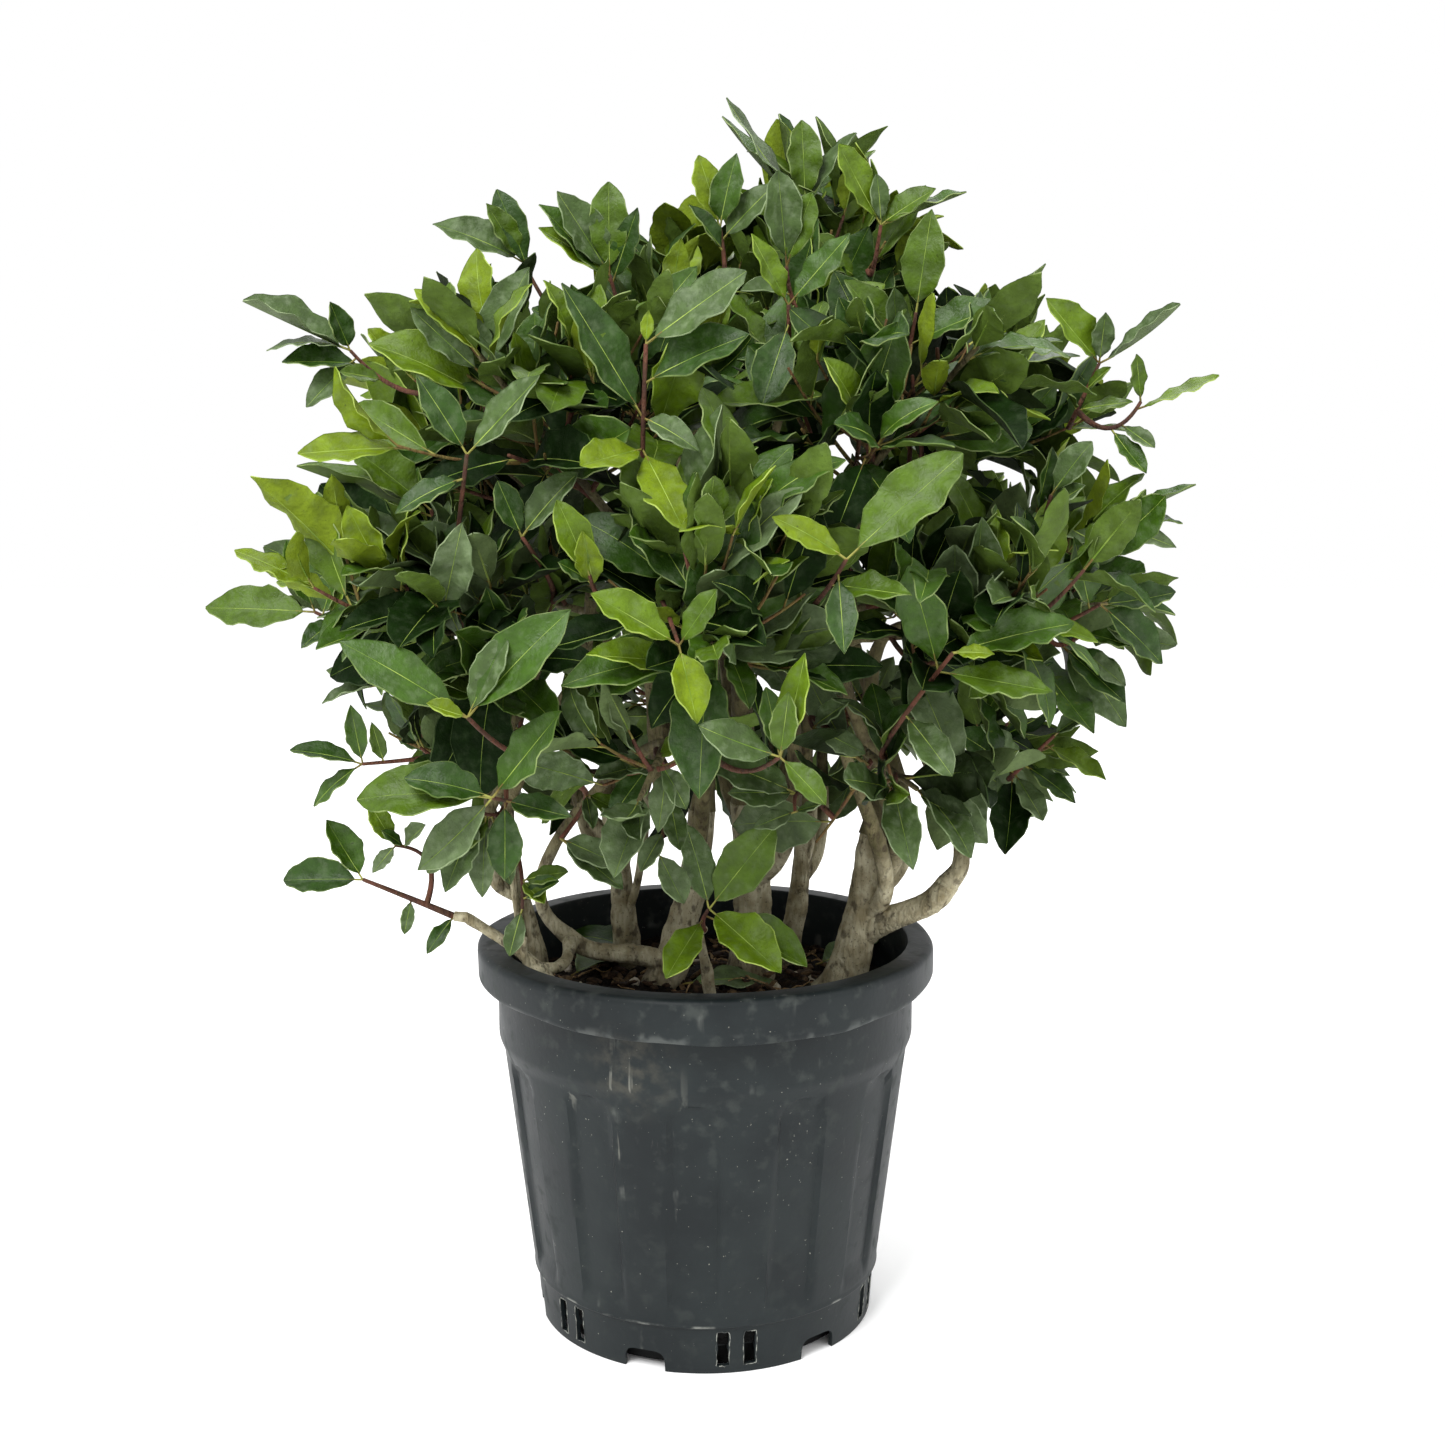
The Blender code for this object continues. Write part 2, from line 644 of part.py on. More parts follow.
def make_limbs(collection, cutters):
    """The stems, the two low limbs and a bough for each mass. Returns the limbs by name and their guards."""
    limbs, guards = {}, {}

    def add(name, limb, colour, sides):
        """Makes a limb's solid, cut clear of every earlier limb that it crosses, and its own guard."""
        solid = limb.solid(name, collection, new_material(name + "_bark", colour, 0.85), sides)
        for guard in guards.values():
            if tree_of(solid.data).overlap(tree_of(guard.data)):
                boolean(solid, guard, "DIFFERENCE")
        limbs[name] = limb
        guard = limb.guard().solid(name + "_guard", cutters, None, sides)
        guard.hide_render = True
        guard.display_type = "WIRE"
        guards[name] = guard
        return solid

    onward = {stem: tip for _, stem, tip, _, _ in SPRAYS.values()}
    for name, (foot, tip, radii, bow) in STEMS.items():
        limb = stem_limb(foot, tip, radii, bow, onward.get(name))
        stem = add(name, limb, BARK, 10 if radii[0] > STOUT else 8)
        cut_out(stem, cutters, ground_cutter())
    for name, (parent, share, end, radii) in LOW_LIMBS.items():
        start, heading, _ = limbs[parent].at(share)
        end = Vector(end)
        towards = (end - start).normalized()
        leave, arrive = (towards + heading * 0.2).normalized(), (towards + UP * 0.5).normalized()
        add(name, bending_limb(start, leave, end, arrive, radii), BARK, 8)
    for name, plan in crown_plan().items():
        parent, share = plan["carried"]
        out = (plan["tip"] - HEART).normalized()
        end = HEART.lerp(plan["tip"], plan["entry"])
        start, heading, parent_radius = limbs[parent].at(share)
        if share == 1.0:
            start, leave, thick = limbs[parent].beyond(), heading, parent_radius
        else:
            leave = (Vector((out.x, out.y, 0)).normalized() + heading * BOUGH_ALONG_PARENT).normalized()
            thick = min(BOUGH_RADII[0], BOUGH_OF_PARENT * parent_radius)
        add("bough_" + name, bending_limb(start, leave, end, out, (thick, BOUGH_RADII[1])), YOUNG_BARK, 6)
    return limbs, guards


def crown_plan():
    """Each mass of the rings by name: its furthest tip, its lobe and reach, its start and what carries it."""
    plan = {}
    for ring, row in RINGS.items():
        for k, (limb, share, reach) in enumerate(row["carried"]):
            azimuth = row["first"] + 360 * k / len(row["carried"])
            skin = skin_point(HEART, direction_of(azimuth, row["rise"]), LOBES[row["lobe"]])
            plan[f"{ring}_{k}"] = {
                "tip": HEART.lerp(skin, reach),
                "lobe": row["lobe"],
                "reach": (1 + reach) / 2,
                "entry": row["entry"] / reach,
                "carried": (limb, share),
            }
    return plan


def make_masses(collection, limbs, guards, pot, soil):
    """Every mass of foliage, each in its own space about its own middle."""
    rows = []
    for name, plan in crown_plan().items():
        middle = HEART.lerp(plan["tip"], CORE_SHARE)
        space = (plan["lobe"], plan["reach"], LOWEST_LEAF)
        rows.append((name, "bough_" + name, middle, plan["tip"], space, TWIGS, LEAVES_ON_STEM))
    for name, (lobe, stem, tip, twigs, leaves) in SPRAYS.items():
        rows.append((name, stem, Vector(LOBES[lobe][0]), Vector(tip), (lobe, 1.0, 0.0), twigs, leaves))
    middles = np.array([row[2] for row in rows])
    solids = [tree_of(obj.data) for obj in (*guards.values(), pot, soil)]
    for index, (name, limb, _, tip, (lobe, reach, lowest), twigs, leaves) in enumerate(rows):
        limb = limbs[limb]
        space = Space(index, middles, LOBES[lobe], reach, lowest)
        mass = Mass("foliage_" + name, space, solids, FIRST_SEED + index)
        mass.grow(limb.beyond(), tip, min(limb.radii[-1], BOUGH_RADII[1]), twigs, leaves)
        green = Vector(DEEP_GREEN).lerp(Vector(FRESH_GREEN), mass.random.random())
        mass.join(collection, new_material(mass.name + "_green", green, 0.5))
        print(mass.name, len(mass.twigs), "twigs", len(mass.leaves), "leaves")


def main():
    clear_scene()
    plant = new_collection("potted_bay_laurel")
    cutters = new_collection("cutters")
    pot = make_pot(plant, cutters)
    soil = make_soil(plant)
    limbs, guards = make_limbs(plant, cutters)
    make_masses(plant, limbs, guards, pot, soil)
    for guard in guards.values():
        bpy.data.objects.remove(guard)


main()
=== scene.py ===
# Potted bay laurel: pot, soil, bark and leaves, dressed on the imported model
import math

import bpy
import numpy as np
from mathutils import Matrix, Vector


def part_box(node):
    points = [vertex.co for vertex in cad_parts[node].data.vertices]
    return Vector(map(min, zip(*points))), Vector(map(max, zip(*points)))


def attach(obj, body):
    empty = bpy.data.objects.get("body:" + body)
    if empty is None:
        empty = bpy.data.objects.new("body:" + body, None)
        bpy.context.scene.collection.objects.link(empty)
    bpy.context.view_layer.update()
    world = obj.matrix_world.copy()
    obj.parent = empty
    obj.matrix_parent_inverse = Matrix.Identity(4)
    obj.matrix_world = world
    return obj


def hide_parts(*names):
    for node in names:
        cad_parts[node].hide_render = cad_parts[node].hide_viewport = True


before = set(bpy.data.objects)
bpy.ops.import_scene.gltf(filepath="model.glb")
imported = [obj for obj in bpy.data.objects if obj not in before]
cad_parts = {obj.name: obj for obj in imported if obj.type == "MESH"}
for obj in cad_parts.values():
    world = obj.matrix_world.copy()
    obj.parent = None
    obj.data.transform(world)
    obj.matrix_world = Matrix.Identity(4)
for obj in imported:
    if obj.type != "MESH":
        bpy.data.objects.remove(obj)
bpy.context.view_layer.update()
print("frame loaded:", len(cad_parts), "nodes")

up = np.array([0.0, 0.0, 1.0])
goldenAngle = math.radians(137.5)


# Camera and lights

cameraSettings = {"place": (0.0105, -1.107, 0.531), "downward": 8.41, "lens": 45.9}
lightSettings = {
    "world": 1.0,
    "lamps": {  # place, size and power
        "key": ((-0.9, -1.7, 2.5), 1.2, 90),
        "fill": ((1.7, -1.2, 1.6), 1.6, 14),
        "back": ((0.3, 1.6, 2.4), 1.4, 26),
    },
    "aim": (0.0, 0.0, 0.38),
}


def makeCamera(settings):  # a camera that looks along y and a little down
    camera = bpy.data.objects.new("camera", bpy.data.cameras.new("camera"))
    bpy.context.scene.collection.objects.link(camera)
    camera.location = settings["place"]
    camera.rotation_euler = (math.radians(90 - settings["downward"]), 0, 0)
    camera.data.lens = settings["lens"]
    camera.data.sensor_width = 36
    camera.data.dof.use_dof = False
    bpy.context.scene.camera = camera


def makeLights(settings):  # white surroundings, and square lamps that face one spot
    world = bpy.data.worlds.new("studio")
    world.use_nodes = True
    background = world.node_tree.nodes["Background"]
    background.inputs["Color"].default_value = (1, 1, 1, 1)
    background.inputs["Strength"].default_value = settings["world"]
    bpy.context.scene.world = world
    for name, (place, size, power) in settings["lamps"].items():
        lamp = bpy.data.lights.new(name, "AREA")
        lamp.size = size
        lamp.energy = power
        light = bpy.data.objects.new(name, lamp)
        bpy.context.scene.collection.objects.link(light)
        light.location = place
        light.rotation_euler = (light.location - Vector(settings["aim"])).to_track_quat("Z", "Y").to_euler()
    bpy.context.scene.view_settings.view_transform = "Standard"


makeCamera(cameraSettings)
makeLights(lightSettings)
print("camera and lights placed")


# Materials: number sockets that can be added and multiplied, and one method for every other node


class Value:  # a number socket; each operator adds one Math node
    def __init__(self, finish, socket):
        self.finish, self.socket = finish, socket

    def __add__(self, other):
        return self.finish.math("ADD", self, other)

    def __sub__(self, other):
        return self.finish.math("SUBTRACT", self, other)

    def __rsub__(self, other):
        return self.finish.math("SUBTRACT", other, self)

    def __mul__(self, other):
        return self.finish.math("MULTIPLY", self, other)

    __radd__ = __add__
    __rmul__ = __mul__

    def between(self, low, high):  # 0 at low, 1 at high, smooth in between
        settings = {"interpolation_type": "SMOOTHSTEP"}
        return self.finish.node("MapRange", settings, {"Value": self, "From Min": low, "From Max": high})


class Finish:  # one material round a Principled shader; fixed numbers go on the shader's own sockets
    def __init__(self, name, **fixed):
        self.material = bpy.data.materials.new(name)
        self.material.use_nodes = True
        self.tree = self.material.node_tree
        self.shader = self.tree.nodes["Principled BSDF"]
        names = {"colour": "Base Color", "rough": "Roughness", "gloss": "Specular IOR Level"}
        for key, value in fixed.items():
            self.shader.inputs[names[key]].default_value = value

    def node(self, kind, settings, inputs, output=0):
        node = self.tree.nodes.new("ShaderNode" + kind)
        for key, value in settings.items():
            setattr(node, key, value)
        for key, value in inputs.items():
            self.feed(node.inputs[key], value)
        return Value(self, node.outputs[output])

    def feed(self, socket, value):
        if isinstance(value, Value):
            self.tree.links.new(value.socket, socket)
        else:
            socket.default_value = value

    def math(self, operation, *values):
        return self.node("Math", {"operation": operation}, dict(enumerate(values)))

    def mix(self, share, first, second):
        return self.node("Mix", {"data_type": "RGBA"}, {0: share, 6: first, 7: second}, output=2)

    def place(self, stretch=(1, 1, 1)):  # where a point lies, stretched if asked
        spot = self.node("TexCoord", {}, {}, output="Object")
        return spot if stretch == (1, 1, 1) else self.node("Mapping", {}, {"Vector": spot, "Scale": stretch})

    def axis(self, name):  # one coordinate as a number
        return self.node("SeparateXYZ", {}, {"Vector": self.place()}, output=name)

    def distance(self, spot):  # how far a point is from a spot
        return self.node("VectorMath", {"operation": "DISTANCE"}, {0: self.place(), 1: spot}, output="Value")

    def noise(self, scale, detail=3, stretch=(1, 1, 1)):
        return self.node("TexNoise", {}, {"Vector": self.place(stretch), "Scale": scale, "Detail": detail})

    def give(self, colour=None, rough=None, height=None, strength=0.4, depth=0.0006):
        if colour is not None:
            self.feed(self.shader.inputs["Base Color"], colour)
        if rough is not None:
            self.feed(self.shader.inputs["Roughness"], rough)
        if height is not None:
            normal = self.node("Bump", {}, {"Height": height, "Strength": strength, "Distance": depth})
            self.feed(self.shader.inputs["Normal"], normal)
        return self


def shade(red, green, blue):  # a colour as it looks on screen, 0 to 255, turned to linear light
    values = np.array([red, green, blue]) / 255
    linear = np.where(values <= 0.04045, values / 12.92, ((values + 0.055) / 1.055) ** 2.4)
    return (*linear.tolist(), 1.0)


# Meshes: arrays of points and faces, joined piece by piece


def unit(vectors):  # vectors divided by their own lengths
    return vectors / np.linalg.norm(vectors, axis=-1, keepdims=True)


def gridFaces(rows, columns, around=False):  # quads of a grid stored row by row, closed round if asked
    row = np.arange(rows - 1)[:, None] * columns
    column = np.arange(columns if around else columns - 1)[None, :]
    right = (column + 1) % columns
    corners = [row + column, row + right, row + right + columns, row + column + columns]
    return np.stack(corners, -1).reshape(-1, 4)


def capFaces(rows, columns):  # fans from the first ring and the last to the two points after the grid
    ring = np.arange(columns)
    following = np.roll(ring, -1)
    last = (rows - 1) * columns
    pole = np.full(columns, rows * columns)
    return np.stack([following, ring, pole], -1), np.stack([last + ring, last + following, pole + 1], -1)


def repeated(faces, count, size):  # the faces of one shape for many shapes of so many points each
    return (np.arange(count)[:, None, None] * size + faces[None]).reshape(-1, faces.shape[1])


def ripples(points, size, seed, waves=9):  # sum of sines of about one wavelength, each its own way
    draw = np.random.default_rng(seed)
    ways = unit(draw.normal(size=(waves, points.shape[-1])))
    ways = ways * draw.uniform(0.6, 1.6, (waves, 1)) * math.tau / size
    return np.sin(points @ ways.T + draw.uniform(0, math.tau, waves)).sum(-1) / math.sqrt(waves) * 0.8


def turned(radius, z, turn):  # points at radii and heights, turned round the pot's axis
    return np.stack(np.broadcast_arrays(radius * np.cos(turn), radius * np.sin(turn), z), -1)


def bent(start, knee, end, steps):  # a quadratic curve: start (1 - t)^2 + 2 knee t (1 - t) + end t^2
    start, knee, end = (np.array(spot) for spot in (start, knee, end))
    t = np.linspace(0, 1, steps)[:, None]
    return start * (1 - t) ** 2 + knee * 2 * t * (1 - t) + end * t * t


def lengthsOf(path):  # how far along its path each point lies
    return np.concatenate([[0], np.cumsum(np.linalg.norm(np.diff(path, axis=0), axis=1))])


class Heap:  # shapes of one kind, gathered and then joined into one piece
    def __init__(self):
        self.points, self.faces, self.count = [], [], 0

    def put(self, points, *faces):
        points = points.reshape(-1, 3)
        self.points.append(points)
        self.faces += [face + self.count for face in faces]
        self.count += len(points)

    def putClosed(self, points, poles):  # rings of points, with a fan to a pole at each end
        rows, columns = points.shape[:2]
        points = np.concatenate([points.reshape(-1, 3), poles])
        self.put(points, gridFaces(rows, columns, True), *capFaces(rows, columns))

    def putSheets(self, sheets, flipped=False):  # many grids of one size, faced the other way if asked
        count, rows, columns = sheets.shape[:3]
        faces = gridFaces(rows, columns)
        self.put(sheets, repeated(faces[:, ::-1] if flipped else faces, count, rows * columns))

    def mesh(self, name, sharp=None):  # points and corners go in as whole arrays
        points = np.concatenate(self.points)
        faces = sorted(self.faces, key=lambda face: -face.shape[1])
        corners = np.concatenate([face.ravel() for face in faces])
        sizes = np.concatenate([np.full(len(face), face.shape[1]) for face in faces])
        mesh = bpy.data.meshes.new(name)
        mesh.vertices.add(len(points))
        mesh.vertices.foreach_set("co", points.astype(np.float32).ravel())
        mesh.loops.add(len(corners))
        mesh.loops.foreach_set("vertex_index", corners.astype(np.int32))
        mesh.polygons.add(len(sizes))
        mesh.polygons.foreach_set("loop_start", (np.cumsum(sizes) - sizes).astype(np.int32))
        mesh.update(calc_edges=True)
        mesh.shade_smooth()
        if sharp:
            mesh.set_sharp_from_angle(angle=math.radians(sharp))
        return mesh

    def join(self, name, finish, slotName, *nodes, sharp=None):
        addPiece(self.mesh(name, sharp), finish, slotName, *nodes)


def addPiece(mesh, finish, slotName, *nodes):  # the piece rides on the plant and stands for the nodes
    mesh.materials.append(finish.material)
    piece = bpy.data.objects.new(mesh.name, mesh)
    bpy.context.scene.collection.objects.link(piece)
    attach(piece, "root")
    if nodes:
        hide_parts(*nodes)
    print(mesh.name, len(mesh.loops) - 2 * len(mesh.polygons), "triangles")


# A tube: ring k is path[k] + radius * (cos a * side + sin a * cross), where side is square to the path;
# relief adds a share of the radius for each ring and turn, and both ends are closed
def tube(heap, path, radii, sides, relief=0.0):
    heading = unit(np.gradient(path, axis=0))
    chord = unit(path[-1] - path[0])
    guide = np.cross(chord, up) if abs(chord[2]) < 0.95 else np.array([1.0, 0.1, 0.0])
    side = unit(guide - heading * (heading @ guide)[:, None])
    cross = np.cross(heading, side)
    turn = np.arange(sides) * math.tau / sides
    ring = np.cos(turn)[:, None] * side[:, None] + np.sin(turn)[:, None] * cross[:, None]
    points = path[:, None] + (radii[:, None] * (1 + relief) * np.ones(sides))[..., None] * ring
    ends = np.stack([path[0], path[-1] + heading[-1] * radii[-1] * 0.5])
    heap.putClosed(points, ends)


# Pot: a turned profile with pressed flutes, a wavy band round the rim, notches and slots in its foot

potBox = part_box("pot")
potSettings = {
    "height": potBox[1][2],
    "rim": potBox[1][0],
    "band": 0.026,  # height of the turned-down rim, and how far it stands out
    "lip": 0.0125,
    "bandRise": 0.0032,  # how much shallower the band is at the sides than at the front
    "bandRipple": 0.0006,
    "wall": 0.0032,
    "collar": 0.172,
    "ledge": (0.1073, 0.030),
    "foot": 0.1035,
    "taper": 0.122,
    "floor": 0.0135,
    "columns": 288,
    "step": 0.0055,
    "flutes": 12,
    "fluteTurn": -2.8,  # degrees from the front
    "fluteWidth": 0.0145,  # half width, then how far they are pressed in and how soft their edge is
    "fluteDepth": 0.0027,
    "fluteEdge": 0.0026,
    "fluteEnds": (0.036, 0.170),
    "feet": 6,
    "footTurn": -49.7,
    "notch": (0.0125, 0.0125),  # half width and height of a notch
    "slot": (0.0076, 0.005, 0.0262),  # width, bottom and top of a slot
    "slotSpread": 0.0160,
    "stand": (0.0945, 0.0024, 0.0022),  # radius, thickness and clearance of the ring below the floor
    "cut": 0.016,
    "flash": 0.00026,  # radius of the torn plastic round a slot
}


def wallRadius(z):  # the wall's outer radius: the ledge's, and the taper times the height over it
    return potSettings["ledge"][0] + potSettings["taper"] * (z - potSettings["ledge"][1])


def softened(corners, steps=5):  # each corner (radius, height, fillet) becomes a quadratic curve
    spots = np.array([corner[:2] for corner in corners])
    rows = [spots[:1]]
    for k in range(1, len(corners) - 1):
        before, after = unit(spots[k - 1] - spots[k]), unit(spots[k + 1] - spots[k])
        fillet = corners[k][2]
        rows.append(bent(spots[k] + before * fillet, spots[k], spots[k] + after * fillet, steps))
    return np.concatenate([*rows, spots[-1:]])


def stepped(profile, longest):  # the profile with points added so that no step is too long
    rows = [profile[:1]]
    for a, b in zip(profile[:-1], profile[1:]):
        count = max(1, math.ceil(np.linalg.norm(b - a) / longest))
        rows.append(a + (b - a) * (np.arange(1, count + 1) / count)[:, None])
    return np.concatenate(rows)


def potProfile(s):  # from the middle of the underside, up the outside, over the rim and down the inside
    collar, lipBottom = s["rim"] - s["lip"], s["height"] - s["band"]
    inner = collar - s["wall"]
    ledge, ledgeTop = s["ledge"]
    return softened([
        (0.004, s["floor"], 0),
        (ledge - 0.0018 - s["wall"], s["floor"], 0.001),
        (s["foot"] - s["wall"], 0, 0.0006),
        (s["foot"], 0, 0.0008),
        (ledge - 0.0016, ledgeTop - 0.0012, 0.0006),
        (ledge + 0.0006, ledgeTop + 0.0002, 0.0005),
        (wallRadius(ledgeTop + 0.003), ledgeTop + 0.003, 0.001),
        (wallRadius(s["collar"] - 0.002), s["collar"] - 0.002, 0.002),
        (collar, s["collar"] + 0.006, 0.002),
        (collar, lipBottom + 0.0035, 0.001),
        (s["rim"] - 0.0020, lipBottom + 0.0015, 0.001),
        (s["rim"] - 0.0008, lipBottom, 0.0007),
        (s["rim"], lipBottom + 0.002, 0.001),
        (s["rim"], s["height"], 0.0045),
        (inner, s["height"], 0.0012),
        (inner, s["collar"] + 0.006, 0.002),
        (wallRadius(s["collar"]) - s["wall"], s["collar"] - 0.004, 0.002),
        (wallRadius(s["floor"]) - s["wall"], s["floor"] + s["wall"], 0.002),
        (0.004, s["floor"] + s["wall"], 0),
    ])


def fluted(s, radius, z, front):  # the outer wall pressed in by smooth steps, with a bow at each flute's top
    outer = radius > wallRadius(z) - 0.5 * s["wall"]
    spacing = math.tau / s["flutes"]
    offset = (front - math.radians(s["fluteTurn"]) + spacing / 2) % spacing - spacing / 2
    low, high = s["fluteEnds"]
    bow = np.sqrt((1 - (offset * radius / s["fluteWidth"]) ** 2).clip(0)) * s["fluteWidth"] * 0.7
    inside = smooth((s["fluteWidth"] - np.abs(offset) * radius) / s["fluteEdge"] + 0.5)
    inside = inside * smooth((high - s["fluteWidth"] * 0.7 + bow - z) / s["fluteEdge"])
    inside = inside * smooth((z - low) / (3 * s["fluteEdge"]))
    return radius - np.where(outer & (z < s["collar"]), inside * s["fluteDepth"], 0)


def banded(s, radius, z, turn, front):  # the band's lower edge rises to both sides, and the band ripples
    band = (radius > s["rim"] - s["lip"] + 0.0003) & (z > s["height"] - s["band"] - 0.001)
    lower = smooth((s["height"] - 0.006 - z) / (s["band"] - 0.008))
    rise = s["bandRise"] * (1 - np.cos(2 * front - 0.3))
    rise = rise + s["bandRipple"] * ripples(np.stack([np.cos(turn), np.sin(turn)], -1), 0.45, 3)
    z = z + np.where(band, lower * rise, 0)
    spots = np.stack([np.cos(front) + 0 * z, np.sin(front) + 0 * z, z * 8], -1)
    return radius + np.where(band, 0.0005 * ripples(spots, 0.5, 4), 0), z


def cutBy(body, cutter):  # a mesh less another mesh
    pieces = [bpy.data.objects.new(mesh.name, mesh) for mesh in (body, cutter)]
    for piece in pieces:
        bpy.context.scene.collection.objects.link(piece)
    pieces[0].modifiers.new("cut", "BOOLEAN").object = pieces[1]
    bpy.context.view_layer.update()
    mesh = bpy.data.meshes.new_from_object(pieces[0].evaluated_get(bpy.context.evaluated_depsgraph_get()))
    for piece in pieces:
        bpy.data.objects.remove(piece)
    return mesh


def makePot(s):  # the profile turned, its radii and heights moved by flutes and band, then its foot cut
    profile = stepped(potProfile(s), s["step"])
    turn = np.arange(s["columns"]) * math.tau / s["columns"]
    front = turn + math.pi / 2  # turns from the front
    radius, z = (values[:, None] + np.zeros(s["columns"]) for values in profile.T)
    radius, z = banded(s, fluted(s, radius, z, front), z, turn, front)
    heap = Heap()
    heap.putClosed(turned(radius, z, turn), np.array([[0, 0, s["floor"]], [0, 0, s["floor"] + s["wall"]]]))
    mesh = cutBy(heap.mesh("pot_body", 30), footCutters(s).mesh("cutter"))
    mesh.name = "pot_shell"
    mesh.shade_smooth()
    mesh.set_sharp_from_angle(angle=math.radians(32))
    mesh.materials.clear()
    addPiece(mesh, potFinish(potLooks), "pot", "pot")


def smooth(t):  # 0 below 0, 1 above 1, 3 t^2 - 2 t^3 in between
    t = np.clip(t, 0, 1)
    return t * t * (3 - 2 * t)


def slotTurns(s):  # the middle of each pair of slots, and which side of it each slot is
    for k in range(s["feet"]):
        for side in (-0.5, 0.5):
            yield math.radians(s["footTurn"] + 360 * (k + 0.5) / s["feet"]), side * s["slotSpread"]


def onFoot(turn, sideways, depth, z):  # a place beside a radius of the pot: so far out, across and up
    out = np.array([math.cos(turn), math.sin(turn), 0])
    across = np.array([-math.sin(turn), math.cos(turn), 0])
    return out * depth[..., None] + across * sideways[..., None] + up * z[..., None]


def footCutters(s):  # prisms along the pot's radius, one for each notch and slot
    heap = Heap()
    depth = np.array([s["foot"] - s["cut"] / 2, s["foot"] + s["cut"] / 2])
    half, high = s["notch"]
    arch = np.linspace(0, math.pi, 15)
    archX = half * np.sign(np.cos(arch)) * np.abs(np.cos(arch)) ** 0.45
    archZ = high * np.sin(arch) ** 0.45
    outlines = []
    for k in range(s["feet"]):
        outline = (np.append(archX, [-half, half]), np.append(archZ, [-0.01, -0.01]))
        outlines.append((math.radians(s["footTurn"] + 360 * k / s["feet"]), *outline))
    draw = np.random.default_rng(5)
    width, bottom, top = s["slot"]
    for turn, middle in slotTurns(s):
        z = np.concatenate([np.linspace(bottom, top, 5), np.linspace(top, bottom, 5)])
        x = np.repeat([0.5, -0.5], 5) * width * draw.uniform(0.78, 1.0, 10) + middle
        outlines.append((turn, x, z))
    for turn, x, z in outlines:
        count = len(x)
        points = onFoot(turn, np.tile(x, 2), np.repeat(depth, count), np.tile(z, 2))
        caps = onFoot(turn, np.full(2, x.mean()), depth, np.full(2, z.mean()))
        heap.putClosed(points.reshape(2, count, 3), caps)
    return heap


def plainFinish(name, first, second, rough=0.5, scale=70):  # two colours that drift into each other
    finish = Finish(name, gloss=0.2)
    drift = finish.noise(scale, 3).between(0.36, 0.64)
    colour = finish.mix(drift, shade(*first), shade(*second))
    return finish.give(colour, rough + drift * 0.12, finish.noise(scale * 9, 2), 0.25, 0.0003)


potLooks = {
    "dusty": (0.09, 0.235),  # heights between which the dust thickens
    # heights where the rubbed ledge begins and ends, and the same for the band's edge
    "rubbed": (((0.0285, 0.0300), (0.0303, 0.0318)), ((0.206, 0.211), (0.212, 0.217))),
    # middle of the dirt under the band and the distances over which it fades, and the same for its runs
    "dirt": (((-0.042, -0.124, 0.190), (0.004, 0.038)), ((-0.050, -0.120, 0.166), (0.020, 0.050))),
}


def potFinish(s):  # slate-grey plastic: clouding, dust, pale scratches, flecks and dirt under the band
    finish = Finish("slate_plastic", gloss=0.22)
    cloud = finish.noise(22, 5).between(0.32, 0.70)
    dust = finish.noise(95, 5).between(0.52, 0.74)
    streak = finish.noise(75, 4, (1, 1, 0.07)).between(0.62, 0.72)
    broken = finish.noise(60, 3).between(0.52, 0.66)
    fleck = finish.noise(520, 2).between(0.735, 0.77)
    z = finish.axis("Z")
    high = z.between(*s["dusty"])
    ledge, bandEdge = (z.between(*rise) * (1 - z.between(*fall)) for rise, fall in s["rubbed"])
    dirt, runs = (1 - finish.distance(spot).between(*fade) for spot, fade in s["dirt"])
    runs = runs * finish.noise(150, 3, (1, 1, 0.05)).between(0.58, 0.66)
    colour = finish.mix(cloud, shade(17, 23, 25), shade(28, 34, 35))
    colour = finish.mix(dust * (0.15 + high * 0.22), colour, shade(82, 86, 82))
    colour = finish.mix(dirt * finish.noise(110, 6).between(0.40, 0.70) * 0.50, colour, shade(82, 79, 69))
    colour = finish.mix(streak * broken * 0.30, colour, shade(124, 126, 120))
    colour = finish.mix(runs * finish.noise(45, 4).between(0.44, 0.56) * 0.6, colour, shade(136, 136, 126))
    colour = finish.mix(ledge * broken * 0.8, colour, shade(128, 130, 124))
    colour = finish.mix(bandEdge * broken * 0.22, colour, shade(130, 134, 130))
    colour = finish.mix(fleck * 0.6, colour, shade(150, 150, 140))
    relief = finish.noise(300, 3) * 0.5 + cloud * 0.8 + streak * 0.3
    return finish.give(colour, 0.46 + dust * 0.25 + cloud * 0.08, relief, 0.3, 0.0007)


def makeFlash(s):  # a thin ragged thread of torn plastic round each slot: a rectangle with shaky sides
    heap = Heap()
    draw = np.random.default_rng(8)
    width, bottom, top = s["slot"]
    corner = np.array([[-1, 0], [-1, 1], [1, 1], [1, 0], [-0.6, 0]])
    steps = 30
    for turn, middle in slotTurns(s):
        t = np.linspace(0, 1, steps)
        x, z = (np.interp(t, np.linspace(0, 1, 5), corner[:, k]) for k in (0, 1))
        x = middle + x * width / 2 + draw.normal(0, 0.00028, steps)
        z = bottom + z * (top - bottom) + draw.normal(0, 0.0003, steps)
        radius = s["foot"] + (s["ledge"][0] - 0.0016 - s["foot"]) * z / s["ledge"][1]
        depth = np.sqrt(radius**2 - x**2) + 0.0001
        tube(heap, onFoot(turn, x, depth, z), draw.uniform(0.5, 1.5, steps) * s["flash"], 5)
    heap.join("slot_flash", plainFinish("torn_plastic", (48, 52, 52), (150, 152, 144), 0.6, 260), "pot")


